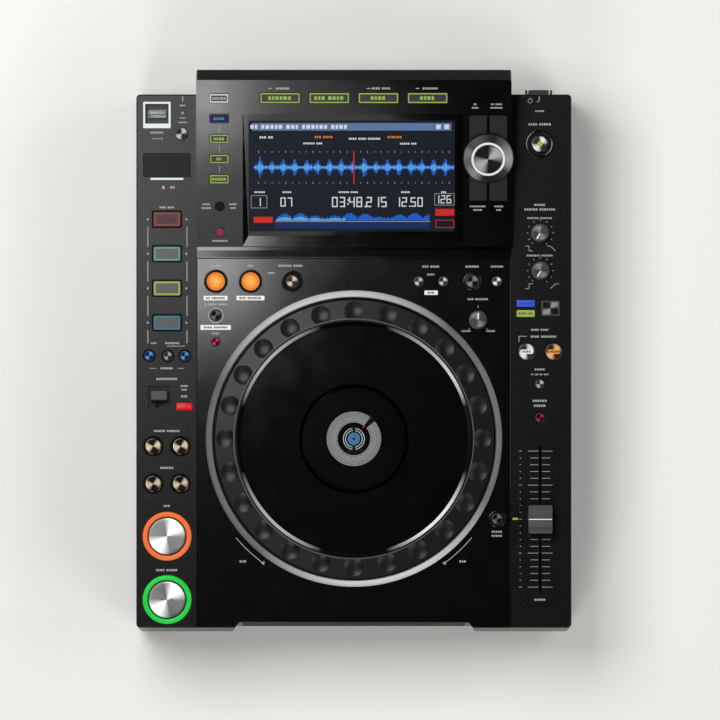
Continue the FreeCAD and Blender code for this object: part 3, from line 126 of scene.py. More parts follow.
def polishedPlastic(name, colour, rough=0.09):
    material, tree, shader = newMaterial(name)
    broad = noiseTexture(tree, 55)
    dust = noiseTexture(tree, 2600, 1.0)
    dusty = tuple(channel * 1.35 + 0.0006 for channel in colour)
    tintBase(tree, shader, dust, colour, dusty)
    roughen(tree, shader, broad, rough - 0.01, rough + 0.015)
    addBump(tree, shader, broad, 0.05, 0.000006)
    return material


lit = {"grain": 700, "unlit": 0.10, "gloss": 0.12, "roughness": (0.22, 0.34)}  # the same for every lit plastic


def setLit(tree, shader, tint, grain, colour, strength):
    tree.links.new(tint, shader.inputs["Emission Color"])
    roughen(tree, shader, grain, *lit["roughness"])
    setInputs(shader, Base_Color=(*(channel * lit["unlit"] for channel in colour), 1), Emission_Strength=strength,
              Specular_IOR_Level=lit["gloss"])


def glowing(name, colour, strength):
    material, tree, shader = newMaterial(name)
    grain = noiseTexture(tree, lit["grain"])
    dim = tuple(channel * 0.86 for channel in colour)
    setLit(tree, shader, mixColours(tree, grain, dim, colour), grain, colour, strength)
    return material


def glowingDome(name, inner, outer, centre, radius, strength):
    material, tree, shader = newMaterial(name)
    away = spread(tree, radiusOf(tree, *radialParts(tree, centre)), 0.0, 1.0, 0.0, radius * mm)
    setLit(tree, shader, mixColours(tree, away, inner, outer), noiseTexture(tree, lit["grain"]), outer, strength)
    return material


def radialParts(tree, centre):
    coords = tree.nodes.new("ShaderNodeTexCoord")
    mapping = tree.nodes.new("ShaderNodeMapping")
    setInputs(mapping, Location=(-centre[0] * mm, -centre[1] * mm, 0))
    split = tree.nodes.new("ShaderNodeSeparateXYZ")
    tree.links.new(coords.outputs["Object"], mapping.inputs["Vector"])
    tree.links.new(mapping.outputs["Vector"], split.inputs["Vector"])
    return split.outputs["X"], split.outputs["Y"]


def mathNode(tree, operation, first, second=None):
    node = tree.nodes.new("ShaderNodeMath")
    node.operation = operation
    for place, value in enumerate((first, second)):
        if isinstance(value, (int, float)):
            node.inputs[place].default_value = value
        elif value is not None:
            tree.links.new(value, node.inputs[place])
    return node.outputs["Value"]


def radiusOf(tree, x, y):
    squares = [mathNode(tree, "MULTIPLY", side, side) for side in (x, y)]
    return mathNode(tree, "SQRT", mathNode(tree, "ADD", *squares))


# Spun metal: real anisotropic rings in the bump, plus a painted sheen in the base colour, full colour along the sheen
# angle and dimmed to a painted shade across it.
def spunMetalPaintedSheen(name, colour, centre, rough, pitch, paintedSheenAngle, paintedShadeFactor, metallic=1.0):
    material, tree, shader = newMaterial(name)
    x, y = radialParts(tree, centre)
    radius = radiusOf(tree, x, y)
    sheen = math.radians(paintedSheenAngle)
    along = mathNode(tree, "ADD", mathNode(tree, "MULTIPLY", x, math.cos(sheen)),
                     mathNode(tree, "MULTIPLY", y, math.sin(sheen)))
    cosine = mathNode(tree, "DIVIDE", along, mathNode(tree, "ADD", radius, 0.00001))  # never by zero
    # painted sheen: lighter where the radius runs along the sheen angle, painted shade across it
    paintedSheenFan = spread(tree, mathNode(tree, "MULTIPLY", cosine, cosine), 0.0, 1.0, 0.35, 0.95)
    rings = mathNode(tree, "SINE", mathNode(tree, "MULTIPLY", radius, 2 * math.pi / (pitch * mm)))
    noise = noiseTexture(tree, 900)
    both = mathNode(tree, "ADD", mathNode(tree, "MULTIPLY", rings, 0.5), noise)
    tintBase(tree, shader, paintedSheenFan, tuple(channel * paintedShadeFactor for channel in colour), colour)
    addBump(tree, shader, both, 0.25, 0.00004)
    setInputs(shader, Metallic=metallic, Roughness=rough, Anisotropic=0.7)
    tangent = tree.nodes.new("ShaderNodeTangent")
    tangent.direction_type = "RADIAL"
    tangent.axis = "Z"
    tree.links.new(tangent.outputs["Tangent"], shader.inputs["Tangent"])
    return material


def roughMetal(name, colour, rough, grain=500):
    material, tree, shader = newMaterial(name)
    noise = noiseTexture(tree, grain, 3.0)
    tintBase(tree, shader, noise, tuple(channel * 0.82 for channel in colour), colour)
    roughen(tree, shader, noise, rough - 0.05, rough + 0.08)
    addBump(tree, shader, noise, 0.15, 0.00003)
    setInputs(shader, Metallic=1.0)
    return material


# Black plate with a metal bevel; the bevel's silver colour is a painted highlight on its diagonals only.
def bevelledPlate(name, colour, paintedBevelHighlight, centre, bevelFrom):
    material, tree, shader = newMaterial(name)
    x, y = radialParts(tree, centre)
    radius = radiusOf(tree, x, y)
    metal = mathNode(tree, "GREATER_THAN", radius, bevelFrom * mm)
    paintedDiagonalHighlight = mathNode(tree, "DIVIDE", mathNode(tree, "MULTIPLY", x, y), mathNode(tree, "MULTIPLY", radius, radius))
    shine = spread(tree, mathNode(tree, "ABSOLUTE", paintedDiagonalHighlight), 0.0, 1.0, 0.27, 0.49)  # painted highlight on the metal bevel, bright on the diagonals
    bright = mathNode(tree, "MULTIPLY", metal, shine)
    fine = noiseTexture(tree, 60)
    tintBase(tree, shader, bright, colour, paintedBevelHighlight)
    tree.links.new(mathNode(tree, "MULTIPLY", metal, 0.75), shader.inputs["Metallic"])
    rough = mathNode(tree, "ADD", spread(tree, fine, 0.08, 0.12), mathNode(tree, "MULTIPLY", metal, 0.26))
    tree.links.new(rough, shader.inputs["Roughness"])
    addBump(tree, shader, fine, 0.03, 0.000006)
    return material


def clearPlastic(name):
    material, tree, shader = newMaterial(name)
    dust = noiseTexture(tree, 1500)
    tintBase(tree, shader, dust, (0.80, 0.81, 0.82), (0.90, 0.91, 0.92))
    roughen(tree, shader, dust, 0.01, 0.03)
    setInputs(shader, Transmission_Weight=1.0, IOR=1.49)
    return material


# Building blocks for small pieces, in millimetres round the place that finishPiece gives


def addBar(shape, x, y, width, depth, low=0.0, high=ink, turn=0.0):
    spot = Matrix.Translation((x, y, (low + high) / 2)) @ Matrix.Rotation(turn, 4, "Z")
    bmesh.ops.create_cube(shape, size=1.0, matrix=spot @ Matrix.Diagonal((width, depth, high - low, 1)))


def addDisc(shape, x, y, radius, low=0.0, high=ink, segments=32):
    spot = Matrix.Translation((x, y, (low + high) / 2))
    bmesh.ops.create_cone(shape, cap_ends=True, segments=segments, radius1=radius, radius2=radius,
                          depth=high - low, matrix=spot)


def addTurned(shape, x, y, profile, steps=64):
    ring = [shape.verts.new((x + radius, y, z)) for radius, z in profile]
    edges = [shape.edges.new(pair) for pair in zip(ring, ring[1:] + ring[:1])]
    bmesh.ops.spin(shape, geom=ring + edges, cent=(x, y, 0), axis=(0, 0, 1), angle=2 * math.pi,
                   steps=steps, use_merge=True)


def addRing(shape, x, y, inner, outer, low=0.0, high=ink, steps=64):
    addTurned(shape, x, y, [(inner, low), (outer, low), (outer, high), (inner, high)], steps)


def addArc(shape, x, y, radius, width, start, sweep, steps=16, low=0.0, high=ink):
    length = 2 * radius * math.sin(math.radians(abs(sweep) / steps) / 2) * 1.05
    for step in range(steps):
        angle = math.radians(start + sweep * (step + 0.5) / steps)
        addBar(shape, x + radius * math.cos(angle), y + radius * math.sin(angle), width, length, low, high, angle)


def weld(shape):
    bmesh.ops.remove_doubles(shape, verts=shape.verts, dist=0.001)


def uprightEdges(shape, least):
    return [e for e in shape.edges if abs(e.verts[0].co.z - e.verts[1].co.z) > least]


def addFrame(shape, x, y, width, depth, band, low=0.0, high=ink, corner=1.2):
    part = bmesh.new()
    spot = Matrix.Translation((x, y, (low + high) / 2)) @ Matrix.Diagonal((width, depth, high - low, 1))
    bmesh.ops.create_cube(part, size=1.0, matrix=spot)
    upright = uprightEdges(part, (high - low) / 2)
    softenEdges(part, upright, corner, 4)
    part.normal_update()
    flat = [f for f in part.faces if abs(f.normal.z) > 0.9]
    bmesh.ops.inset_individual(part, faces=flat, thickness=band)
    rims = [e for f in flat for e in f.edges]
    bmesh.ops.delete(part, geom=flat, context="FACES_ONLY")
    bmesh.ops.bridge_loops(part, edges=rims)
    pour(part, shape)


def softenEdges(shape, edges, offset, segments):
    bmesh.ops.bevel(shape, geom=edges, offset=offset, segments=segments, profile=0.5, affect="EDGES", material=-1)


def addTriangle(shape, x, y, size, turn=0.0, low=0.0, high=ink):
    spot = Matrix.Translation((x, y, (low + high) / 2)) @ Matrix.Rotation(turn, 4, "Z")
    bmesh.ops.create_cone(shape, cap_ends=True, segments=3, radius1=size, radius2=size, depth=high - low,
                          matrix=spot)


def addWords(shape, x, y, words, height=1.35, low=0.0):
    widths = (0.80, 0.62, 0.88, 0.72, 0.96)  # stand-in marks, one for each letter that isn't drawn
    marks = [None if letter == " " else widths[place % 5] * height
             for place, letter in enumerate(" ".join("x" * int(count) for count in words.split()))]
    steps = [(0.7 if mark is None else mark / height + 0.32) * height for mark in marks]
    start = x - sum(steps) / 2
    for mark, step in zip(marks, steps):
        if mark:
            addBar(shape, start + mark / 2, y, mark, height, low, low + ink)
        start += step


def addDigits(shape, x, y, text, height, low=0.0):
    strokes = {"0": "abcdef", "1": "bc", "2": "abged", "3": "abgcd", "4": "fgbc", "5": "afgcd",
               "6": "afgedc", "7": "abc", "8": "abcdefg", "9": "abcdfg"}
    width, line = height * 0.5, height * 0.13
    places = {"a": (0, 0.5, 1), "g": (0, 0, 1), "d": (0, -0.5, 1), "f": (-0.5, 0.25, 0), "b": (0.5, 0.25, 0),
              "e": (-0.5, -0.25, 0), "c": (0.5, -0.25, 0)}
    for figure in text:
        if figure in strokes:
            for stroke in strokes[figure]:
                across, up, level = places[stroke]
                size = (width, line) if level else (line, height / 2 + line)
                addBar(shape, x + across * width, y + up * height, *size, low, low + ink)
            x += width * 1.62
        elif figure in ".:":
            for up in (-0.5,) if figure == "." else (-0.22, 0.22):
                addBar(shape, x - width * 0.32, y + up * height, line * 1.2, line * 1.2, low, low + ink)
            x += width * 0.5
        else:
            x += width * 1.1


def pour(part, shape):
    carrier = bpy.data.meshes.new("carrier")
    part.to_mesh(carrier)
    shape.from_mesh(carrier)
    part.free()
    bpy.data.meshes.remove(carrier)


def toMesh(name, shape):
    mesh = bpy.data.meshes.new(name)
    shape.to_mesh(mesh)
    shape.free()
    return mesh


def addObject(name, data):
    made = bpy.data.objects.new(name, data)
    bpy.context.scene.collection.objects.link(made)
    return made


def finishPiece(name, shape, material, rides="casing", place=onDeck, smooth=False):
    bmesh.ops.recalc_face_normals(shape, faces=shape.faces)
    bmesh.ops.transform(shape, matrix=Matrix.Scale(mm, 4) @ place, verts=shape.verts)
    mesh = toMesh(name, shape)
    mesh.materials.append(material)
    if smooth:
        mesh.shade_smooth()
        mesh.set_sharp_from_angle(angle=math.radians(35))
    piece = addObject(name, mesh)
    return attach(piece, rides)


# Finishes of the frame's own nodes

casePlastic = grainedPlastic("case_plastic_dark", (0.0026, 0.0026, 0.0028), 0.27, shine=0.165)
glossBlack = polishedPlastic("gloss_black_plate", (0.0007, 0.0007, 0.0008), 0.13)
housingBlack = polishedPlastic("gloss_black_housing", (0.0007, 0.0007, 0.0008), 0.08)
panelPlastic = grainedPlastic("front_panel_satin", (0.004, 0.004, 0.0042), 0.62, shine=0.15)
steelPaint = grainedPlastic("chassis_powder_coat", (0.014, 0.014, 0.015), 0.55, 900, 0.6)
footRubber = grainedPlastic("foot_rubber_dull", (0.016, 0.016, 0.016), 0.85, 500, 0.5)
blackZinc = roughMetal("screw_black_zinc", (0.12, 0.12, 0.13), 0.38)
socketPlastic = grainedPlastic("socket_moulding", (0.018, 0.018, 0.018), 0.45)
boardGreen = grainedPlastic("board_green", (0.012, 0.06, 0.03), 0.5)
driveSteel = roughMetal("drive_plated_steel", (0.45, 0.46, 0.47), 0.33)
rollerRubber = grainedPlastic("roller_rubber_grey", (0.03, 0.03, 0.03), 0.8)
# silver trim ring with a painted sheen, lighter towards its front and rear, darker left and right
silverTrim = spunMetalPaintedSheen("trim_silver_ring", (0.96, 0.97, 0.98), (0, jogY), 0.40, 0.5, 103.0, 0.26, 0.42)
wheelBlack = grainedPlastic("wheel_satin_black", (0.0044, 0.0044, 0.0048), 0.32, 1800, 0.1, shine=0.16)
# jog plate with a painted highlight on the diagonals of its bevel
plateBlack = bevelledPlate("jog_plate_black", (0.0012, 0.0012, 0.0013), (0.95, 0.96, 0.97), (0, jogY), 83.9)
clearWindow = clearPlastic("jog_window_clear")
centreDisplay = polishedPlastic("centre_display_dark", (0.0006, 0.0006, 0.0007), 0.2)
portMetal = roughMetal("port_plated_shell", (0.10, 0.10, 0.10), 0.35)
keyDark = grainedPlastic("key_satin_black", (0.0045, 0.0045, 0.005), 0.36, 2200, 0.15)
leverPlastic = grainedPlastic("lever_satin", (0.005, 0.005, 0.0052), 0.36, 2200, 0.15, shine=0.24)
doorPlastic = grainedPlastic("card_door_dark", (0.002, 0.002, 0.0022), 0.40, 2200, 0.15, shine=0.10)
keyChrome = roughMetal("key_dark_chrome", (0.05, 0.046, 0.042), 0.16, 300)
knobGrey = grainedPlastic("knob_satin_grey", (0.022, 0.022, 0.024), 0.42, 2000, 0.2)
screenBlack = polishedPlastic("screen_cover_glass", (0.0006, 0.0007, 0.0010), 0.05)
# selector skirt with a painted sheen, lighter towards its left and right, darker front and rear
skirtMetal = spunMetalPaintedSheen("selector_skirt_spun", (0.17, 0.17, 0.18), (98.4, 141.6), 0.34, 0.3, 20.0, 0.09)

finishes = {
    "upper_case": casePlastic, "deck_plate": glossBlack, "display_housing": housingBlack,
    "display_screen": screenBlack, "front_panel": panelPlastic, "bottom_chassis": steelPaint,
    "rear_sockets": socketPlastic, "rubber_feet": footRubber, "case_screws": blackZinc,
    "disc_drive_frame": driveSteel, "jog_trim_ring": silverTrim, "jog_hub": driveSteel,
    "jog_display": centreDisplay, "usb_port": portMetal, "circuit_boards": boardGreen,
    "jog_wheel": wheelBlack, "jog_plate": plateBlack, "jog_window": clearWindow,
    "disc_turntable": wheelBlack, "feed_roller": rollerRubber,
    "track_keys": keyChrome, "search_keys": keyChrome, "eject_button": keyChrome,
    "touch_speed_knob": knobGrey, "release_speed_knob": knobGrey, "jog_adjust_knob": knobGrey,
    "tempo_slider": knobGrey, "card_door": doorPlastic, "time_mode_button": doorPlastic,
    "direction_lever": leverPlastic, "selector_keys": leverPlastic, "selector_knob": skirtMetal,
}
for name, node in nodes.items():
    material = finishes.get(name, keyDark)
    for place in node.material_slots:
        place.material = material
print("materials on", len(nodes), "frame nodes")

# Colours of prints and lights

greyInk, whiteInk, dimInk, redInk, darkInk = (
    grainedPlastic("print_" + name, colour, 0.5, 3000, 0.1) for name, colour in (
        ("light_grey", (0.21, 0.21, 0.205)), ("white", (0.52, 0.52, 0.51)), ("dim_grey", (0.16, 0.16, 0.16)),
        ("red", (0.30, 0.035, 0.03)), ("black", (0.01, 0.01, 0.01))))
whiteGlow = glowing("lit_white", (0.80, 0.88, 0.85), 0.85)
orangeGlow = glowing("lit_orange", (1.0, 0.19, 0.045), 0.80)
amberGlow = glowing("lit_amber_dome", (1.0, 0.36, 0.035), 0.80)
greenGlow = glowing("lit_green", (0.02, 0.70, 0.06), 0.78)
limeGlow = glowing("lit_lime", (0.36, 0.52, 0.09), 0.75)
redGlow = glowing("lit_red", (0.85, 0.004, 0.008), 0.70)
blueGlow = glowing("lit_blue", (0.03, 0.10, 0.75), 0.85)
tealGlow = glowing("lit_teal", (0.14, 0.33, 0.28), 0.65)
oliveGlow = glowing("lit_olive", (0.42, 0.46, 0.06), 0.65)
slateGlow = glowing("lit_slate_blue", (0.05, 0.20, 0.28), 0.65)
dullRedGlow = glowing("lit_dull_red", (0.23, 0.045, 0.045), 0.6)
magentaGlow = glowing("lit_dim_magenta", (0.42, 0.012, 0.06), 0.7)
rimBlack = grainedPlastic("rim_matte_black", (0.0012, 0.0012, 0.0012), 0.6, 2200, 0.1, shine=0.06)
navyGlow = glowing("lit_navy", (0.004, 0.014, 0.10), 0.8)

# Lights beside the keys

lightRings = {"inner": 14.5, "outer": 17.9, "root": -3.5, "stand": 1.4, "cueY": -134.9, "playY": -181.5}
usbLight = {"x": -144.85, "y": 174.85, "width": 20.1, "depth": 19.3, "side": 1.4, "front": 3.3,
            "low": -1.9, "high": 0.4}
cardLight = (-137.5, 127.9, 24.2, 1.5, -2.5, 0.2)  # x, y, width, depth, low, high
lampHeights = (-3.4, 0.25)
lamps = {  # x, y, width, depth
    "reverse": (-124.65, -39.5, 11.9, 5.4), "mode": (126.35, 36.3, 13.1, 4.9), "slip": (126.35, 28.9, 13.1, 4.9)}


def makeLightRing(name, y, material):
    shape = bmesh.new()
    inner, outer, low, top = (lightRings[key] for key in ("inner", "outer", "root", "stand"))
    addTurned(shape, leftMid, y, [
        (inner, low), (outer, low), (outer, top - 0.8), (outer - 0.35, top - 0.25), (outer - 0.9, top),
        (inner + 0.6, top), (inner + 0.15, top - 0.25), (inner, top - 0.8)], 96)
    return finishPiece(name, shape, material, smooth=True)


def makeUsbLight():
    size = usbLight
    shape = bmesh.new()
    band, heights = size["side"], (size["low"], size["high"])
    for side in (-1, 1):
        addBar(shape, size["x"] + side * (size["width"] - band) / 2, size["y"], band, size["depth"], *heights)
    inside = size["width"] - 2 * band
    for side, width in ((-1, size["front"]), (1, band)):
        addBar(shape, size["x"], size["y"] + side * (size["depth"] - width) / 2, inside, width, *heights)
    weld(shape)
    return finishPiece("usb_light_frame", shape, whiteGlow)


def makeCardLight():
    shape = bmesh.new()
    addBar(shape, *cardLight)
    softenEdges(shape, shape.edges[:], 0.18, 2)
    return finishPiece("card_light_bar", shape, whiteGlow)


def makeLamp(name, material):
    x, y, width, depth = lamps[name]
    shape = bmesh.new()
    addBar(shape, x, y, width, depth, *lampHeights)
    softenEdges(shape, shape.edges[:], 0.4, 3)
    lens = finishPiece(name + "_lamp_lens", shape, material, smooth=True)
    marks = bmesh.new()
    addWords(marks, x, y, "4 2", 1.5, lampHeights[1])
    finishPiece(name + "_lamp_marks", marks, redInk if name == "reverse" else darkInk)
    return lens


lightPieces = [makeLightRing("cue_light_ring", lightRings["cueY"], orangeGlow),
               makeLightRing("play_light_ring", lightRings["playY"], greenGlow),
               makeUsbLight(), makeCardLight(), makeLamp("reverse", redGlow), makeLamp("mode", blueGlow),
               makeLamp("slip", limeGlow)]
for piece in lightPieces:
    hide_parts("light_pipes")
print("light pipes")

# Lit frames and faces of the keys

hotCue = {"ys": (98.2, 72.8, 47.4, 22.1), "outer": (19.5, 10.3), "band": 1.5, "stand": 0.9, "corner": 1.2,
          "halo": (22.3, 12.9, 1.15, -0.79, -0.70, 1.5)}  # width, depth, band, low, high, corner
thick = 0.08  # how far a lit frame stands up from its key
sourceKeys = {"x": -98.6, "ys": (186.3, 171.5, 156.8, 142.1, 127.4), "size": (14.0, 6.6), "band": 0.75, "stand": 0.8}
browseKeys = {"xs": (-54.0, -18.0, 18.0, 54.0), "y": 186.5, "labelY": 193.4, "size": (29.5, 8.0), "band": 0.8,
              "stand": 0.8}


def makeHotCueLights():
    width, depth = hotCue["outer"]
    for name, y, material in zip("abcd", hotCue["ys"], (dullRedGlow, tealGlow, oliveGlow, slateGlow)):
        shape = bmesh.new()
        addFrame(shape, leftMid, y, width, depth, hotCue["band"], hotCue["stand"], hotCue["stand"] + thick,
                 hotCue["corner"])
        finishPiece("hot_cue_light_" + name, shape, material, "hot_cue_key_" + name)
    halo = bmesh.new()
    for y in hotCue["ys"]:
        addFrame(halo, leftMid, y, *hotCue["halo"])
    finishPiece("hot_cue_halos", halo, rimBlack)
    face = bmesh.new()
    inside = [size - 2 * hotCue["band"] - 0.5 for size in hotCue["outer"]]
    addBar(face, leftMid, hotCue["ys"][0], *inside, hotCue["stand"], hotCue["stand"] + 0.06)
    finishPiece("hot_cue_glow_a", face, glowing("lit_faint_red", (0.10, 0.02, 0.02), 0.5), "hot_cue_key_a")


def makeSourceLights():
    width, depth = sourceKeys["size"]
    tops = sourceKeys["stand"]
    colours = (whiteGlow, navyGlow, limeGlow, limeGlow, limeGlow)
    inks = (greyInk, tealGlow, limeGlow, limeGlow, limeGlow)
    words = ("7", "4", "4", "2", "5")
    for place, planY in enumerate(sourceKeys["ys"]):
        shape, marks = bmesh.new(), bmesh.new()
        y = slopeY(planY)
        if place == 1:
            addBar(shape, sourceKeys["x"], y, width - 1.4, depth - 1.4, tops, tops + 0.06)
        else:
            addFrame(shape, sourceKeys["x"], y, width - 0.6, depth - 0.6, sourceKeys["band"], tops, tops + thick, 0.7)
        addWords(marks, sourceKeys["x"], y, words[place], 1.9, tops + 0.06)
        finishPiece("source_light_%d" % (place + 1), shape, colours[place], "source_keys", onSlope)
        finishPiece("source_mark_%d" % (place + 1), marks, inks[place], "source_keys", onSlope)
    ties = bmesh.new()
    for first, second in zip(sourceKeys["ys"], sourceKeys["ys"][1:]):
        addBar(ties, sourceKeys["x"], slopeY((first + second) / 2), 0.5, 4.6)
    finishPiece("source_key_ties", ties, dimInk, place=onSlope)


def makeBrowseLights():
    width, depth = browseKeys["size"]
    y, tops = slopeY(browseKeys["y"]), browseKeys["stand"]
    for place, x in enumerate(browseKeys["xs"]):
        shape = bmesh.new()
        addFrame(shape, x, y, width - 0.8, depth - 0.8, browseKeys["band"], tops, tops + thick, 0.7)
        addWords(shape, x, y, ("6", "3 4", "4", "4")[place], 2.6, tops)
        finishPiece("browse_light_%d" % (place + 1), shape, limeGlow, "browse_keys", onSlope)
    marks, labelY = bmesh.new(), slopeY(browseKeys["labelY"])
    for x, words in zip(browseKeys["xs"], ("6", "", "4 4", "7")):
        if words:
            addBar(marks, x - 7.4, labelY, 2.6, 0.7)
            addWords(marks, x + 2.0, labelY, words, 1.5)
    finishPiece("browse_key_labels", marks, greyInk, place=onSlope)


makeHotCueLights()
makeSourceLights()
makeBrowseLights()
print("lit key frames")

# Spun metal faces of the round keys, each with a painted sheen

roundFaces = {  # x, y, radius, height over the deck of each
    "cue_button": [(leftMid, lightRings["cueY"], 13.2, 2.2)],
    "play_button": [(leftMid, lightRings["playY"], 13.2, 2.2)],
    "track_keys": [(-147.5, -68.7, 5.4, 2.4), (-127.4, -68.7, 5.4, 2.4)],
    "search_keys": [(-147.5, -96.2, 5.4, 2.4), (-127.4, -96.2, 5.4, 2.4)],
    "eject_button": [(rightMid, 153.5, 5.6, 2.0)], "sync_button": [(127.1, 0.8, 5.6, 1.8)],
    "master_button": [(146.9, 0.8, 5.6, 1.8)], "tempo_range_button": [(rightMid, -23.0, 2.9, 1.6)],
    "master_tempo_button": [(rightMid, -47.7, 2.9, 1.6)], "usb_stop_button": [(-126.8, 161.0, 4.2, 1.2)],
    "bank_keys": [(-150.5, -2.2, 3.1, 1.6), (-136.8, -2.4, 3.1, 1.6), (-124.3, -2.3, 3.1, 1.6)],
    "call_keys": [(47.7, 52.5, 3.1, 1.6), (65.7, 52.5, 3.1, 1.6)], "memory_button": [(105.1, 52.5, 3.1, 1.6)],
    "delete_button": [(87.1, 52.5, 4.2, 2.0)], "reloop_button": [(-45.3, 52.5, 3.9, 2.2)],
    "four_beat_button": [(-101.5, 27.5, 3.7, 2.0)], "slip_button": [(-101.6, 8.1, 2.8, 1.6)],
    "tempo_reset_button": [(105.3, -122.1, 3.5, 2.0)],
}
plainTone = (0.14, 0.14, 0.14)
# colour of each face where its painted sheen is brightest; on the track and search keys this is only a painted glint
# on a near-black face
faceTonesAndSheenTints = {
    "cue_button": (0.72, 0.72, 0.71), "play_button": (0.72, 0.72, 0.71), "track_keys": (0.32, 0.25, 0.18),
    "search_keys": (0.32, 0.25, 0.18), "eject_button": (0.50, 0.50, 0.50), "sync_button": (0.65, 0.65, 0.65),
    "master_button": (0.70, 0.40, 0.18), "tempo_range_button": (0.45, 0.45, 0.45),
    "slip_button": (0.30, 0.012, 0.035), "master_tempo_button": (0.36, 0.02, 0.05),
    "memory_button": (0.6, 0.6, 0.58), "call_keys": (0.34, 0.32, 0.30), "reloop_button": (0.30, 0.24, 0.20),
    "bank_keys": (0.035, 0.10, 0.30), "four_beat_button": (0.05, 0.05, 0.05),
}
paintedFaceSheens = {"large": (50.0, 0.22), "small": (48.0, 0.05), "dark": (14.0, 0.02)}  # angle of the painted sheen, and how far the painted shade away from it dims the face
collars = [  # x, y, inner and outer radius
    (-101.5, 52.5, 6.75, 8.25), (-76.0, 52.5, 6.75, 8.25), (-45.3, 52.5, 4.95, 7.6), (87.1, 52.5, 5.2, 6.1),
    (105.3, -122.1, 4.6, 5.7)]


def makeRoundFaces():
    for node, faces in roundFaces.items():
        for place, (x, y, radius, stand) in enumerate(faces):
            middleBank = node == "bank_keys" and place == 1
            tone = plainTone if middleBank else faceTonesAndSheenTints.get(node, plainTone)
            shape = bmesh.new()
            crown = min(0.25, radius * 0.03)
            addTurned(shape, x, y, [(0, stand - 0.02), (radius, stand - 0.02), (radius, stand + 0.05),
                                    (radius * 0.93, stand + 0.1), (0, stand + 0.1 - crown * 0.1)])
            weld(shape)
            sheen = "dark" if node in ("track_keys", "search_keys") else "large" if radius > 10 else "small"
            metal = spunMetalPaintedSheen("spun_%s_%d" % (node, place + 1), tone, (x, y), 0.28, 0.22, *paintedFaceSheens[sheen])
            finishPiece("%s_face_%d" % (node, place + 1), shape, metal, node)


def makeKeyRims():
    rims, skins = bmesh.new(), bmesh.new()
    for node, reach in (("track_keys", 1.5), ("search_keys", 1.5), ("bank_keys", 1.0)):
        for x, y, radius, stand in roundFaces[node]:
            addRing(rims, x, y, radius + 0.75, radius + 0.75 + reach, steps=48)
    finishPiece("small_key_rims", rims, rimBlack)
    for x, y, inner, outer in collars:
        addRing(skins, x, y, inner, outer, 0.98, 1.04)
    finishPiece("key_collar_skins", skins, rimBlack)


makeRoundFaces()
makeKeyRims()
print("spun key faces")

# Loop keys, lit collars, bright marks on small keys and a painted edge highlight on the jog mode key

loopDomes = {"loop_in_button": (-101.5, 52.5), "loop_out_button": (-76.0, 52.5)}
for name, centre in loopDomes.items():
    dome = glowingDome("lit_amber_" + name, (1.0, 0.56, 0.09), (0.85, 0.20, 0.015), centre, 6.4, 0.85)
    for place in nodes[name].material_slots:
        place.material = dome
syncMarks = {"sync_button": (127.1, whiteGlow, "4"), "master_button": (146.9, amberGlow, "6")}
for name, (x, material, words) in syncMarks.items():
    shape, marks = bmesh.new(), bmesh.new()
    addBar(shape, x, 0.8, 9.6, 3.2, 1.9, 1.96)
    softenEdges(shape, uprightEdges(shape, 0.03), 1.4, 5)
    finishPiece(name + "_lit_panel", shape, material, name)
    addWords(marks, x, 0.8, words, 1.5, 1.96)
    finishPiece(name + "_marks", marks, darkInk, name)
ejectSpot, fourBeatSpot, jogModeSpot = (rightMid, 153.5), (-101.5, 27.5), (144.6, 32.7)


def makeSmallMarks():
    centre, ring, quantize, edge, face, tempo, skin = (bmesh.new() for piece in range(7))
    addDisc(centre, *ejectSpot, 2.0, 2.1, 2.16)
    finishPiece("eject_centre_light", centre, limeGlow, "eject_button")
    addRing(ring, *fourBeatSpot, 5.0, 5.75, 0.95, 1.1)
    finishPiece("four_beat_bright_ring", ring, greyInk)
    addDisc(quantize, -98.2, slopeY(88.8), 2.5, 1.38, 1.46)
    finishPiece("quantize_light", quantize, magentaGlow, "quantize_button", onSlope)
    # painted highlight: a lighter rim round the jog mode key's top
    addFrame(edge, *jogModeSpot, 12.6, 10.4, 0.35, 1.0, 1.07, 0.8)
    finishPiece("jog_mode_painted_edge_highlight", edge, knobGrey, "jog_mode_key")
    addBar(face, *jogModeSpot, 11.2, 9.0, 1.0, 1.06)
    # painted sheen on the jog mode key's face, lighter towards the rear right and front left
    chrome = spunMetalPaintedSheen("spun_jog_mode_face", (0.24, 0.24, 0.24), jogModeSpot, 0.28, 0.22, *paintedFaceSheens["small"])
    finishPiece("jog_mode_face", face, chrome, "jog_mode_key")
    addBar(tempo, 118.7, -122.1, 4.0, 1.5, 0, 0.12)
    finishPiece("tempo_centre_light", tempo, limeGlow)
    inner, outer, low, high = 8.62, 10.18, 0.95, 1.12
    addTurned(skin, *ejectSpot, [(inner, low), (outer, low), (outer, 1.02), (9.9, high), (8.9, high), (inner, 1.02)])
    finishPiece("eject_ring_skin", skin, glossBlack, smooth=True)


makeSmallMarks()
print("small lights and marks")

# Rear side: jack sleeves, colour rings and prints

rear = {"jackZ": 32.0, "jacks": ((-60.0, "b"), (-42.0, "l"), (-20.0, "r")), "sleeve": 4.25, "bore": 1.8,
        "length": 8.45, "ring": 6.6, "networkX": -98.0, "contacts": 8, "pitch": 1.03}
jackPlate = roughMetal("jack_nickel", (0.62, 0.60, 0.56), 0.24)
ringInks = {side: grainedPlastic("jack_ring_" + name, colour, 0.4) for side, name, colour in (
    ("b", "orange", (0.55, 0.16, 0.02)), ("l", "white", (0.6, 0.6, 0.58)), ("r", "red", (0.42, 0.02, 0.02)))}
rearLabels = [  # x, z, marks per word, height
    (-60.0, 44.5, "5", 1.8), (-42.0, 44.5, "1", 1.8), (-20.0, 44.5, "1", 1.8), (-31.0, 48.5, "5 3", 1.8),
    (0.0, 36.0, "3", 1.6), (22.0, 40.0, "6", 1.6), (-98.0, 38.0, "4", 1.8), (88.0, 50.0, "2 2", 1.8),
    (47.5, 36.5, "4", 1.4)]


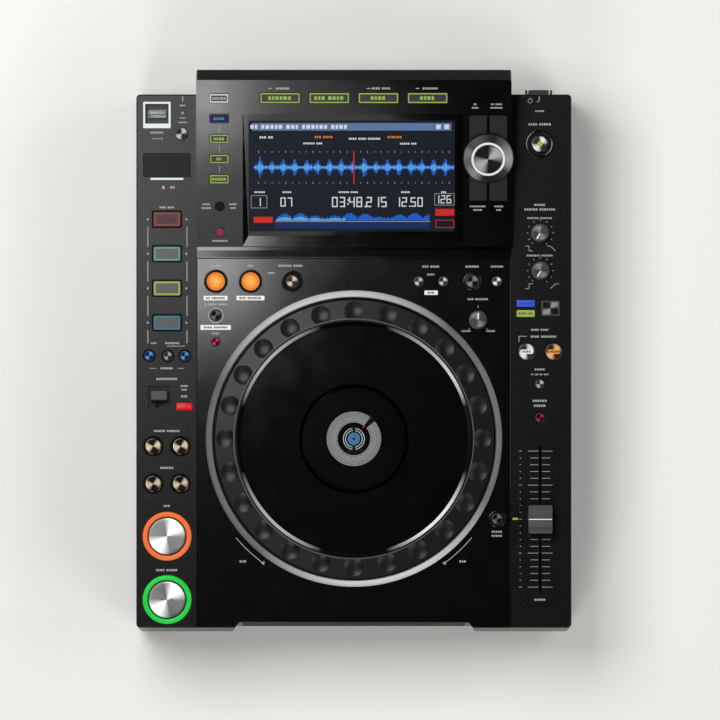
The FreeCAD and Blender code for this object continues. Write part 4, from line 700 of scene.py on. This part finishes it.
def makeRearDetails():
    outer, bore, length = rear["sleeve"], rear["bore"], rear["length"]
    for x, side in rear["jacks"]:
        sleeve, ring = bmesh.new(), bmesh.new()
        addTurned(sleeve, x, rear["jackZ"], [
            (bore, -length), (outer, -length), (outer, -0.45), (outer - 0.08, -0.45),
            (outer - 0.08, -length + 0.03), (bore, -length + 0.03)], 48)
        addRing(ring, x, rear["jackZ"], outer + 0.05, rear["ring"], -0.9, -0.42, 48)
        finishPiece("jack_sleeve_" + side, sleeve, jackPlate, place=onRear, smooth=True)
        finishPiece("jack_colour_ring_" + side, ring, ringInks[side], place=onRear)
    prints = bmesh.new()
    for x, z, words, height in rearLabels:
        addWords(prints, x, z, words, height, -ink)
    for x in (-51.0, -11.0):
        addBar(prints, x, 48.5, 9.0, 0.4, -ink, 0)
    finishPiece("rear_labels", prints, greyInk, place=onRear)
    pins = bmesh.new()
    for step in range(rear["contacts"]):
        addBar(pins, rear["networkX"] - 3.6 + step * rear["pitch"], 30.9, 0.45, 1.6, 4.0, 11.0)
    gold = roughMetal("contact_gold", (0.75, 0.52, 0.18), 0.25)
    finishPiece("network_contacts", pins, gold, place=onRear)


makeRearDetails()
print("rear side")

# Printed labels, all stand-in marks without letters

stripLabels = [  # x, y, marks per word, height
    (-144.7, 161.9, "7", 1.3), (-139.7, 121.6, "1", 2.2), (-133.2, 121.6, "2", 1.8), (leftMid, 106.9, "3 3", 1.5),
    (-133.4, 7.1, "7", 1.4), (-147.0, 7.1, "4", 1.0), (leftMid, -11.4, "6", 1.4), (leftMid, -19.2, "9", 1.6),
    (-124.6, -24.4, "4", 1.3), (-124.6, -27.2, "3", 1.3), (-124.6, -32.0, "3", 1.5), (leftMid, -57.5, "5 6", 1.5),
    (leftMid, -84.6, "6", 1.5), (leftMid, -159.8, "4 5", 1.5), (leftMid, -112.6, "3", 1.5),
    (rightMid, 177.7, "5", 1.2), (rightMid, 168.0, "4 5", 1.6), (rightMid, 108.8, "5", 1.5),
    (rightMid, 105.4, "6 7", 1.5), (rightMid, 99.0, "6 6", 1.3), (rightMid, 71.5, "7 6", 1.3),
    (rightMid, 16.9, "4 4", 1.4), (139.6, 11.9, "4 7", 1.5), (rightMid, -12.2, "5", 1.4),
    (rightMid, -15.9, "2 2 2 3", 1.1), (rightMid, -35.3, "6", 1.6), (rightMid, -38.9, "5", 1.6),
]
deckLabels = [  # the same on the deck plate
    (-101.5, 64.0, "2 3", 1.3), (-76.0, 64.0, "3", 1.3), (-46.5, 64.0, "6 4", 1.5), (-60.5, 58.6, "4", 1.3),
    (-101.5, 35.6, "1 4 4", 1.4), (-101.5, 14.2, "4", 1.3), (56.7, 63.4, "3 4", 1.5), (56.7, 57.6, "4", 1.3),
    (87.1, 63.4, "6", 1.5), (105.4, 63.4, "6", 1.4), (91.3, 39.4, "3 6", 1.4), (82.6, 16.0, "5", 1.2),
    (100.6, 16.0, "5", 1.2), (105.3, -131.6, "5", 1.4), (105.3, -134.6, "5", 1.4), (-81.4, -153.4, "3", 1.6),
    (80.2, -153.4, "3", 1.6),
]
slopeLabels = [  # the same on the display housing
    (-108.2, 109.0, "4", 1.3), (-108.2, 106.2, "5", 1.3), (-88.6, 109.0, "4", 1.3), (-88.6, 106.2, "3", 1.3),
    (-98.2, 82.2, "8", 1.3), (89.0, 181.9, "2", 1.2), (89.0, 179.3, "4", 1.2), (104.6, 181.9, "2 4", 1.2),
    (104.6, 179.3, "7", 1.2), (91.0, 107.4, "9", 1.2), (91.0, 104.8, "5", 1.2), (106.4, 107.4, "5", 1.2),
    (106.4, 104.8, "3", 1.2),
]
labelBars = [  # x, y, width, depth, marks per word
    (-101.6, 40.25, 17.4, 4.1, "2 6"), (-76.0, 40.25, 20.5, 4.1, "3 6"), (-101.6, 18.65, 22.3, 4.3, "4 6"),
    (56.8, 44.2, 9.8, 4.0, "3")]
guideLines = [  # x, y, width, depth
    (-147.6, -11.4, 5.0, 0.45), (-127.2, -11.4, 5.0, 0.45), (-130.9, 4.9, 13.0, 0.5), (121.4, 10.2, 0.6, 4.4),
    (124.4, 12.1, 5.4, 0.6)]


def makeLabels():
    for name, labels, place in (("strip", stripLabels, onDeck), ("deck", deckLabels, onDeck),
                                ("housing", slopeLabels, onSlope)):
        shape = bmesh.new()
        for x, y, words, height in labels:
            addWords(shape, x, slopeY(y) if name == "housing" else y, words, height)
        for y in hotCue["ys"] if name == "strip" else ():
            for x in (-151.6, -123.2):
                addDisc(shape, x, y, 0.75, segments=16)
        finishPiece(name + "_labels", shape, greyInk, place=place)
    pads, marks = bmesh.new(), bmesh.new()
    for x, y, width, depth, words in labelBars:
        addBar(pads, x, y, width, depth - 0.8)
        addWords(marks, x, y, words, 1.5, ink)
    finishPiece("label_pads", pads, whiteInk)
    finishPiece("label_pad_marks", marks, darkInk)


def makeGuideLines():
    lines = bmesh.new()
    for first, second in zip(hotCue["ys"], hotCue["ys"][1:] + (2.0,)):
        for x in (-151.5, -122.7):
            addBar(lines, x, (first + second) / 2 - 0.3, 0.7, (first - second) - 10.5)
    for line in guideLines:
        addBar(lines, *line)
    finishPiece("guide_lines", lines, dimInk)


def addDial(shape, x, y, radius, count, start, sweep, low=0.0):
    for step in range(count):
        angle = math.radians(start + sweep * step / (count - 1))
        addBar(shape, x + radius * math.cos(angle), y + radius * math.sin(angle), 1.3, 0.42, low, low + ink, angle)


speedDials = {"x": 137.1, "ys": (88.1, 60.4), "radius": 9.4, "curveX": (128.8, 146.4)}
jogArrows = {"radius": 113.2, "middle": 43.4, "sweep": 13.0}  # middle: degrees either side of the front
iconBars = [  # x, y, width, depth
    (129.6, 187.0, 0.45, 1.6), (136.3, 186.8, 0.6, 3.4), (135.2, 184.6, 1.4, 0.5), (-144.6, 157.4, 6.0, 0.4),
    (-125.9, 186.7, 0.8, 3.4), (-125.9, 181.9, 4.6, 0.9), (-125.9, 172.6, 4.2, 0.7), (-125.9, 169.4, 6.4, 0.9)]
iconDiscs = [(-147.4, 157.4, 0.7), (-144.6, 157.4, 0.7), (-125.9, 176.4, 0.9)]


def makeDials():
    dials = bmesh.new()
    left, right = speedDials["curveX"]
    for y, side in zip(speedDials["ys"], (-1, 1)):  # the upper curves fall, the lower ones rise
        addDial(dials, speedDials["x"], y, speedDials["radius"], 11, -60, 300)
        addDial(dials, speedDials["x"], y, speedDials["radius"], 2, 232, 8)
        addBar(dials, left, y - 11.4, 0.4, 3.8)
        addBar(dials, left + side * 1.4, y - 9.6, 2.8, 0.4)
        addBar(dials, left - side * 1.4, y - 13.2, 2.8, 0.4)
        addBar(dials, right, y - 11.4, 5.0, 0.4, turn=math.radians(side * 42))
        addBar(dials, right + side * 3.0, y - 9.7, 2.6, 0.4)
    addDial(dials, 91.3, 24.1, 9.2, 2, 225, -270)
    addBar(dials, 91.3, 34.0, 0.5, 1.6)
    finishPiece("dial_marks", dials, greyInk)


def makeJogArrows():
    arrows = bmesh.new()
    radius, sweep = jogArrows["radius"], jogArrows["sweep"]
    for side in (-1, 1):
        middle = 270 + side * jogArrows["middle"]
        addArc(arrows, 0, jogY, radius, 0.55, middle - sweep / 2, sweep, 14)
        angle = math.radians(middle - side * 7.3)
        x, y = radius * math.cos(angle), jogY + radius * math.sin(angle)
        addTriangle(arrows, x, y, 1.7, angle - side * math.pi / 2)
    finishPiece("jog_direction_arrows", arrows, greyInk)


def makeIcons():
    icons, play = bmesh.new(), bmesh.new()
    addRing(icons, 129.6, 185.2, 1.35, 1.75, steps=24)
    for bar in iconBars:
        addBar(icons, *bar)
    for disc in iconDiscs:
        addDisc(icons, *disc, segments=12)
    addTriangle(icons, -141.2, 157.4, 1.0)
    finishPiece("strip_icons", icons, greyInk)
    addTriangle(play, leftMid - 3.6, -181.3, 1.0, low=2.29, high=2.35)
    for x in (3.0, 4.0):
        addBar(play, leftMid + x, -181.3, 0.5, 1.7, 2.29, 2.35)
    finishPiece("play_pause_icon", play, darkInk, "play_button")


makeLabels()
makeGuideLines()
makeDials()
makeJogArrows()
makeIcons()
print("labels and marks")

# Tempo slider: scale, slot lines and the bright line on the cap

slider = {"x": 137.0, "y": -122.3, "floor": -1.0, "travel": 50.0, "steps": 20, "capTop": 10.2}
knobTop = {"radius": 5.3, "low": 8.95, "high": 9.08}
pointer = {"away": 2.9, "bar": (0.95, 4.6, 8.5, 9.14)}  # width, depth, low, high
knobs = {"touch_speed_knob": (136.9, 88.1, 150), "release_speed_knob": (137.3, 60.4, 150),
         "jog_adjust_knob": (91.3, 24.1, 0)}  # x, y, degrees that the pointer is turned


def makeSliderMarks():
    scale, side, line = bmesh.new(), bmesh.new(), bmesh.new()
    x, y, floor, top = (slider[key] for key in ("x", "y", "floor", "capTop"))
    for step in range(slider["steps"] + 1):
        markY = y + slider["travel"] * (1 - 2 * step / slider["steps"])
        reach, tick = (7.8, 2.0) if step % 5 == 0 else (6.0, 1.0)
        for hand in (-1, 1):
            addBar(scale, x + hand * (1.3 + reach / 2), markY, reach, 0.45, floor, floor + ink)
        addBar(side, 122.4, markY, tick, 0.4)
    finishPiece("slider_scale", scale, dimInk)
    addWords(side, x, -181.6, "5", 1.5, floor)
    finishPiece("slider_side_scale", side, greyInk)
    addBar(line, x, y, 17.0, 0.7, top, top + 0.08)
    finishPiece("slider_centre_line", line, whiteInk, "tempo_slider")


def makePointers():
    radius, low, high = knobTop["radius"], knobTop["low"], knobTop["high"]
    for name, (x, y, turn) in knobs.items():
        mark, face = bmesh.new(), bmesh.new()
        angle, away = math.radians(turn), pointer["away"]
        addBar(mark, x - away * math.sin(angle), y + away * math.cos(angle), *pointer["bar"], angle)
        finishPiece(name + "_pointer", mark, whiteInk, name)
        addTurned(face, x, y, [(0, low), (radius, low), (radius, 9.03), (5.1, high), (0, high)], 48)
        weld(face)
        # painted sheen on each knob top, lighter towards the rear left and front right
        metal = spunMetalPaintedSheen("spun_%s_top" % name, (0.17, 0.17, 0.17), (x, y), 0.34, 0.22, 122.0, 0.22)
        finishPiece(name + "_top_face", face, metal, name)


makeSliderMarks()
makePointers()
print("slider and knobs")

# Jog wheel: thin bright ring, centre display under the window

jog = {"wheelTop": 15.0, "displayTop": 15.6, "lit": 0.06, "lines": 120, "gap": (40, 54), "border": (16.68, 16.76)}


def finishDisplay(name, shape, material):
    finishPiece("centre_display_" + name, shape, material)


def makeJogDetails():
    ring, dial, rings, hub, mask, marker = (bmesh.new() for piece in range(6))
    top, lit = jog["displayTop"], jog["displayTop"] + jog["lit"]
    addRing(ring, 0, jogY, 87.5, 88.4, jog["wheelTop"] - 0.05, jog["wheelTop"] + 0.12, 144)
    finishPiece("wheel_thin_ring", ring, knobGrey, "jog_wheel")
    for step in range(jog["lines"]):
        degrees = 360 // jog["lines"] * step
        if jog["gap"][0] < degrees < jog["gap"][1]:
            continue
        angle = math.radians(degrees)
        inner = 12.0 + (step * 7 % 5) * 0.35
        outer = 20.0 - (step * 11 % 4) * 0.25
        middle = (inner + outer) / 2
        addBar(dial, middle * math.cos(angle), jogY + middle * math.sin(angle), outer - inner, 0.55, top, lit, angle)
    for radius in (12.4, 14.2, 16.0, 17.8, 19.6):
        addArc(dial, 0, jogY, radius, 0.5, 54, 346, 90, top, lit)
    finishDisplay("dial", dial, glowing("display_grey_white", (0.38, 0.39, 0.39), 0.9))
    for radius in (6.1, 7.7):
        for start in (-82, 98):
            addArc(rings, 0, jogY, radius, 0.42, start, 164, 30, top, lit)
    finishDisplay("rings", rings, whiteGlow)
    addRing(hub, 0, jogY, 0.9, 4.6, top, lit, 32)
    finishDisplay("hub", hub, glowing("display_blue", (0.09, 0.21, 0.42), 0.9))
    addRing(mask, 0, jogY, 21.0, 37.8, *jog["border"], 96)
    finishPiece("window_black_border", mask, glossBlack, "jog_wheel")
    addBar(marker, 7.4, jogY + 9.2, 2.6, 0.8, top, top + 0.07, math.radians(51))
    finishDisplay("marker", marker, redGlow)


makeJogDetails()
print("jog wheel")

# Selector: lit ring and brushed top, with a painted sheen on the top

selector = {"x": 98.4, "planY": 143.1, "height": 8.8, "lightInner": 10.7, "lightOuter": 12.3, "top": 10.2,
            "grips": 60, "gripRadius": 18.45}


def makeSelector():
    x, y, high = selector["x"], slopeY(selector["planY"]), selector["height"]
    light = bmesh.new()
    addRing(light, x, y, selector["lightInner"], selector["lightOuter"], high - 1.8, high - 1.3, 96)
    finishPiece("selector_light_ring", light, whiteGlow, "selector_knob", onSlope, True)
    face = bmesh.new()
    low, top = high - 0.02, high + 0.08
    addTurned(face, x, y, [(0, low), (selector["top"], low), (selector["top"] - 0.2, top), (0, top)])
    weld(face)
    # painted sheen on the selector top, lighter towards the rear right and front left
    metal = spunMetalPaintedSheen("spun_selector_top", (0.34, 0.34, 0.35), (x, selector["planY"] - 1.5), 0.32, 0.22, 36.0, 0.05)
    finishPiece("selector_top_face", face, metal, "selector_knob", onSlope)
    grip = bmesh.new()
    for step in range(selector["grips"]):
        angle, radius = 2 * math.pi * step / selector["grips"], selector["gripRadius"]
        addBar(grip, x + radius * math.cos(angle), y + radius * math.sin(angle), 0.3, 0.9, 2.2, high - 5.4, angle)
    finishPiece("selector_skirt_grip", grip, keyDark, "selector_knob", onSlope)


makeSelector()
print("selector")

# Screen: everything lit lies on the cover glass

screen = {"left": -77.2, "right": 74.0, "low": 88.5, "high": 169.4, "level": -3.6, "titleY": 164.9, "waveY": 135.3,
          "trackY": 96.4}
screenDigits = [  # x, y, text, height
    (-70.0, 110.0, "1", 5.4), (-52.0, 110.0, "07", 6.0), (-14.0, 110.0, "03:48.215", 6.7),
    (32.0, 110.0, "12.50", 6.2), (61.0, 112.0, "126", 5.4)]
screenWords = [  # x, y, marks per word, height
    (-69.0, 117.2, "6", 1.2), (-49.0, 117.2, "5", 1.2), (-4.0, 117.2, "6 4", 1.2), (38.0, 117.2, "5", 1.2),
    (66.0, 117.2, "3", 1.2), (-64.0, 157.2, "3 2", 1.6), (-30.0, 152.8, "6 3", 1.3), (8.0, 156.2, "4 4 6", 1.4),
    (40.0, 152.6, "5 3", 1.3)]


def addScreenBar(shape, x, planY, width, depth, low=0.04, high=0.09):
    addBar(shape, x, slopeY(planY), width, depth, screen["level"] + low, screen["level"] + high)


def finishScreen(name, shape, glow, colour, strength=0.9):
    material = glowing("screen_" + glow, colour, strength)
    finishPiece("screen_" + name, shape, material, place=onSlope)


def makeScreen():
    back, title, words, deep, bright, navy, red, lines, amber = (bmesh.new() for piece in range(9))
    level = screen["level"] + 0.04
    left, right, low, high = (screen[key] for key in ("left", "right", "low", "high"))
    depth = (high - low) / math.cos(slope["tilt"])
    addScreenBar(back, (left + right) / 2, (low + high) / 2, right - left, depth, 0.0, 0.03)
    finishScreen("backlight", back, "backlight", (0.006, 0.008, 0.014), 1.0)
    addScreenBar(title, -1.6, screen["titleY"], 146.0, 5.6, 0.0, 0.06)
    finishScreen("title_bar", title, "pale_blue", (0.10, 0.17, 0.34))
    addWords(words, -40.0, slopeY(screen["titleY"]), "2 5 3 6 4", 2.9, screen["level"] + 0.06)
    for x in (62.0, 68.0):
        addScreenBar(words, x, screen["titleY"], 3.4, 3.4, 0.06)
    for x, planY, text, height in screenDigits:
        addDigits(words, x, slopeY(planY), text, height, level)
    for x, planY, marks, height in screenWords:
        addWords(words, x, slopeY(planY), marks, height, level)
    finishScreen("figures", words, "white", (0.62, 0.66, 0.68))
    for step in range(147):
        beat = abs(math.sin(step * 0.37)) ** 6
        swing = 0.5 + 0.5 * math.sin(step * 0.083 + 1.3) * math.sin(step * 0.41)
        tall = 2.0 + 11.0 * beat * (0.55 + 0.45 * swing) + 3.4 * swing * abs(math.sin(step * 1.9))
        addScreenBar(deep, step - 73.0, screen["waveY"], 0.75, tall)
        addScreenBar(bright, step - 73.0, screen["waveY"], 0.55, tall * 0.45, 0.09, 0.12)
    trackY = slopeY(screen["trackY"])
    for step in range(141):
        x = -57.0 + step * 0.8
        tall = 1.2 + 3.8 * abs(math.sin(step * 0.21) * math.sin(step * 0.057 + 0.6)) + abs(math.sin(step * 2.3))
        addBar(deep, x, trackY + tall / 2, 0.6, tall, level, level + ink)
        if step < 64:
            addBar(bright, x, trackY + tall / 4, 0.5, tall / 2, level + ink, level + 0.08)
    finishScreen("waveform_deep", deep, "wave_blue", (0.012, 0.12, 0.62), 1.0)
    finishScreen("waveform_bright", bright, "wave_bright", (0.16, 0.50, 0.86), 1.0)
    addScreenBar(navy, -1.0, 92.8, 114.0, 4.6)
    finishScreen("phase_strip", navy, "navy", (0.006, 0.02, 0.09), 1.0)
    for bar in ((66.8, 102.5, 14.0, 5.0), (-66.6, 97.0, 14.0, 4.4), (0.0, screen["waveY"], 0.8, 24.0, 0.09, 0.14)):
        addScreenBar(red, *bar)
    addScreenBar(lines, -1.0, 95.7, 114.0, 0.5)
    for shape, x, planY, *sizes in ((red, 66.8, 94.0, 14.0, 6.0, 0.5), (lines, -69.6, 110.2, 12.0, 9.6, 0.4),
                                    (lines, 66.5, 112.0, 14.6, 9.0, 0.4)):
        addFrame(shape, x, slopeY(planY), *sizes, level, level + ink, 0.4)
    finishScreen("red_blocks", red, "red", (0.60, 0.02, 0.015))
    for step in range(29):
        for planY in (146.6, 124.0):
            addScreenBar(lines, -70.0 + step * 5.0, planY, 0.5, 1.6 if step % 4 == 0 else 0.9)
    finishScreen("thin_lines", lines, "line_grey", (0.28, 0.30, 0.32))
    for x, marks in ((-22.0, "3 4"), (30.0, "6")):
        addWords(amber, x, slopeY(157.4), marks, 1.6, level)
    finishScreen("amber_marks", amber, "amber", (0.55, 0.20, 0.02))


makeScreen()
print("screen")

# Floor, lights and camera

studio = {"floorSide": 5.0, "floorTone": (0.64, 0.63, 0.61), "backdrop": 0.80, "skyLight": 0.01, "cameraAway": 6.0,
          "viewSide": 529.4, "viewCentre": (4.5, -5.3), "lensSensor": 36.0}
softboxes = [  # name, place, size, radiance, degrees turned
    ("key_softbox", (-0.54, 0.48, 1.4), (0.9, 0.9), 10.0, 0.0),
    ("housing_softbox", (-0.6365, -1.0255, 3.0), (1.0, 1.0), 1.2, 52.8),
    ("housing_hot_spot", (-0.40, -0.855, 2.98), (0.54, 0.15), 8.0, 0.0)]
fills = [  # name, place, what it looks at, side, power
    ("front_right_fill", (1.5, -1.4, 1.5), (0.15, -0.1, 0), 1.5, 28),
    ("right_fill", (1.9, 0.5, 1.3), (0.1, 0.1, 0), 1.4, 20),
    ("front_left_fill", (-0.65, -2.1, 1.9), (0, -0.1, 0), 1.0, 24)]


def makeFloor():
    shape = bmesh.new()
    bmesh.ops.create_grid(shape, x_segments=1, y_segments=1, size=studio["floorSide"] / 2)
    mesh = toMesh("studio_floor", shape)
    material, tree, shader = newMaterial("floor_paper")
    setInputs(shader, Base_Color=(*studio["floorTone"], 1), Roughness=0.9, Specular_IOR_Level=0.1)
    mesh.materials.append(material)
    addObject("studio_floor", mesh)


def addLight(name, place, size, power, turn):
    data = bpy.data.lights.new(name, "AREA")
    data.shape = "RECTANGLE"
    data.size, data.size_y = size
    data.energy = power
    lamp = addObject(name, data)
    lamp.location, lamp.rotation_euler = place, turn


def makeLights():
    for name, place, size, radiance, turn in softboxes:
        addLight(name, place, size, radiance * math.pi * size[0] * size[1], (0, 0, math.radians(turn)))
    for name, place, target, side, power in fills:
        toward = (Vector(target) - Vector(place)).to_track_quat("-Z", "Y").to_euler()
        addLight(name, place, (side, side), power, toward)
    world = bpy.data.worlds.new("studio_world")
    world.use_nodes = True
    tree = world.node_tree
    light, seen = tree.nodes["Background"], tree.nodes.new("ShaderNodeBackground")
    path, mix = tree.nodes.new("ShaderNodeLightPath"), tree.nodes.new("ShaderNodeMixShader")
    for shade, strength in ((light, studio["skyLight"]), (seen, studio["backdrop"])):
        setInputs(shade, Color=(1, 1, 1, 1), Strength=strength)
    tree.links.new(path.outputs["Is Camera Ray"], mix.inputs[0])
    tree.links.new(light.outputs["Background"], mix.inputs[1])
    tree.links.new(seen.outputs["Background"], mix.inputs[2])
    tree.links.new(mix.outputs["Shader"], tree.nodes["World Output"].inputs["Surface"])
    bpy.context.scene.world = world


def makeCamera():
    data = bpy.data.cameras.new("camera")
    data.sensor_width = studio["lensSensor"]
    data.lens = studio["lensSensor"] * studio["cameraAway"] / (studio["viewSide"] * mm)
    data.clip_start, data.clip_end = 0.1, 30
    camera = addObject("camera", data)
    x, y = studio["viewCentre"]
    camera.location = (x * mm, y * mm, studio["cameraAway"] + deckTop * mm)
    bpy.context.scene.camera = camera


makeFloor()
makeLights()
makeCamera()
bpy.context.scene.view_settings.view_transform = "Standard"
print("floor, lights and camera")
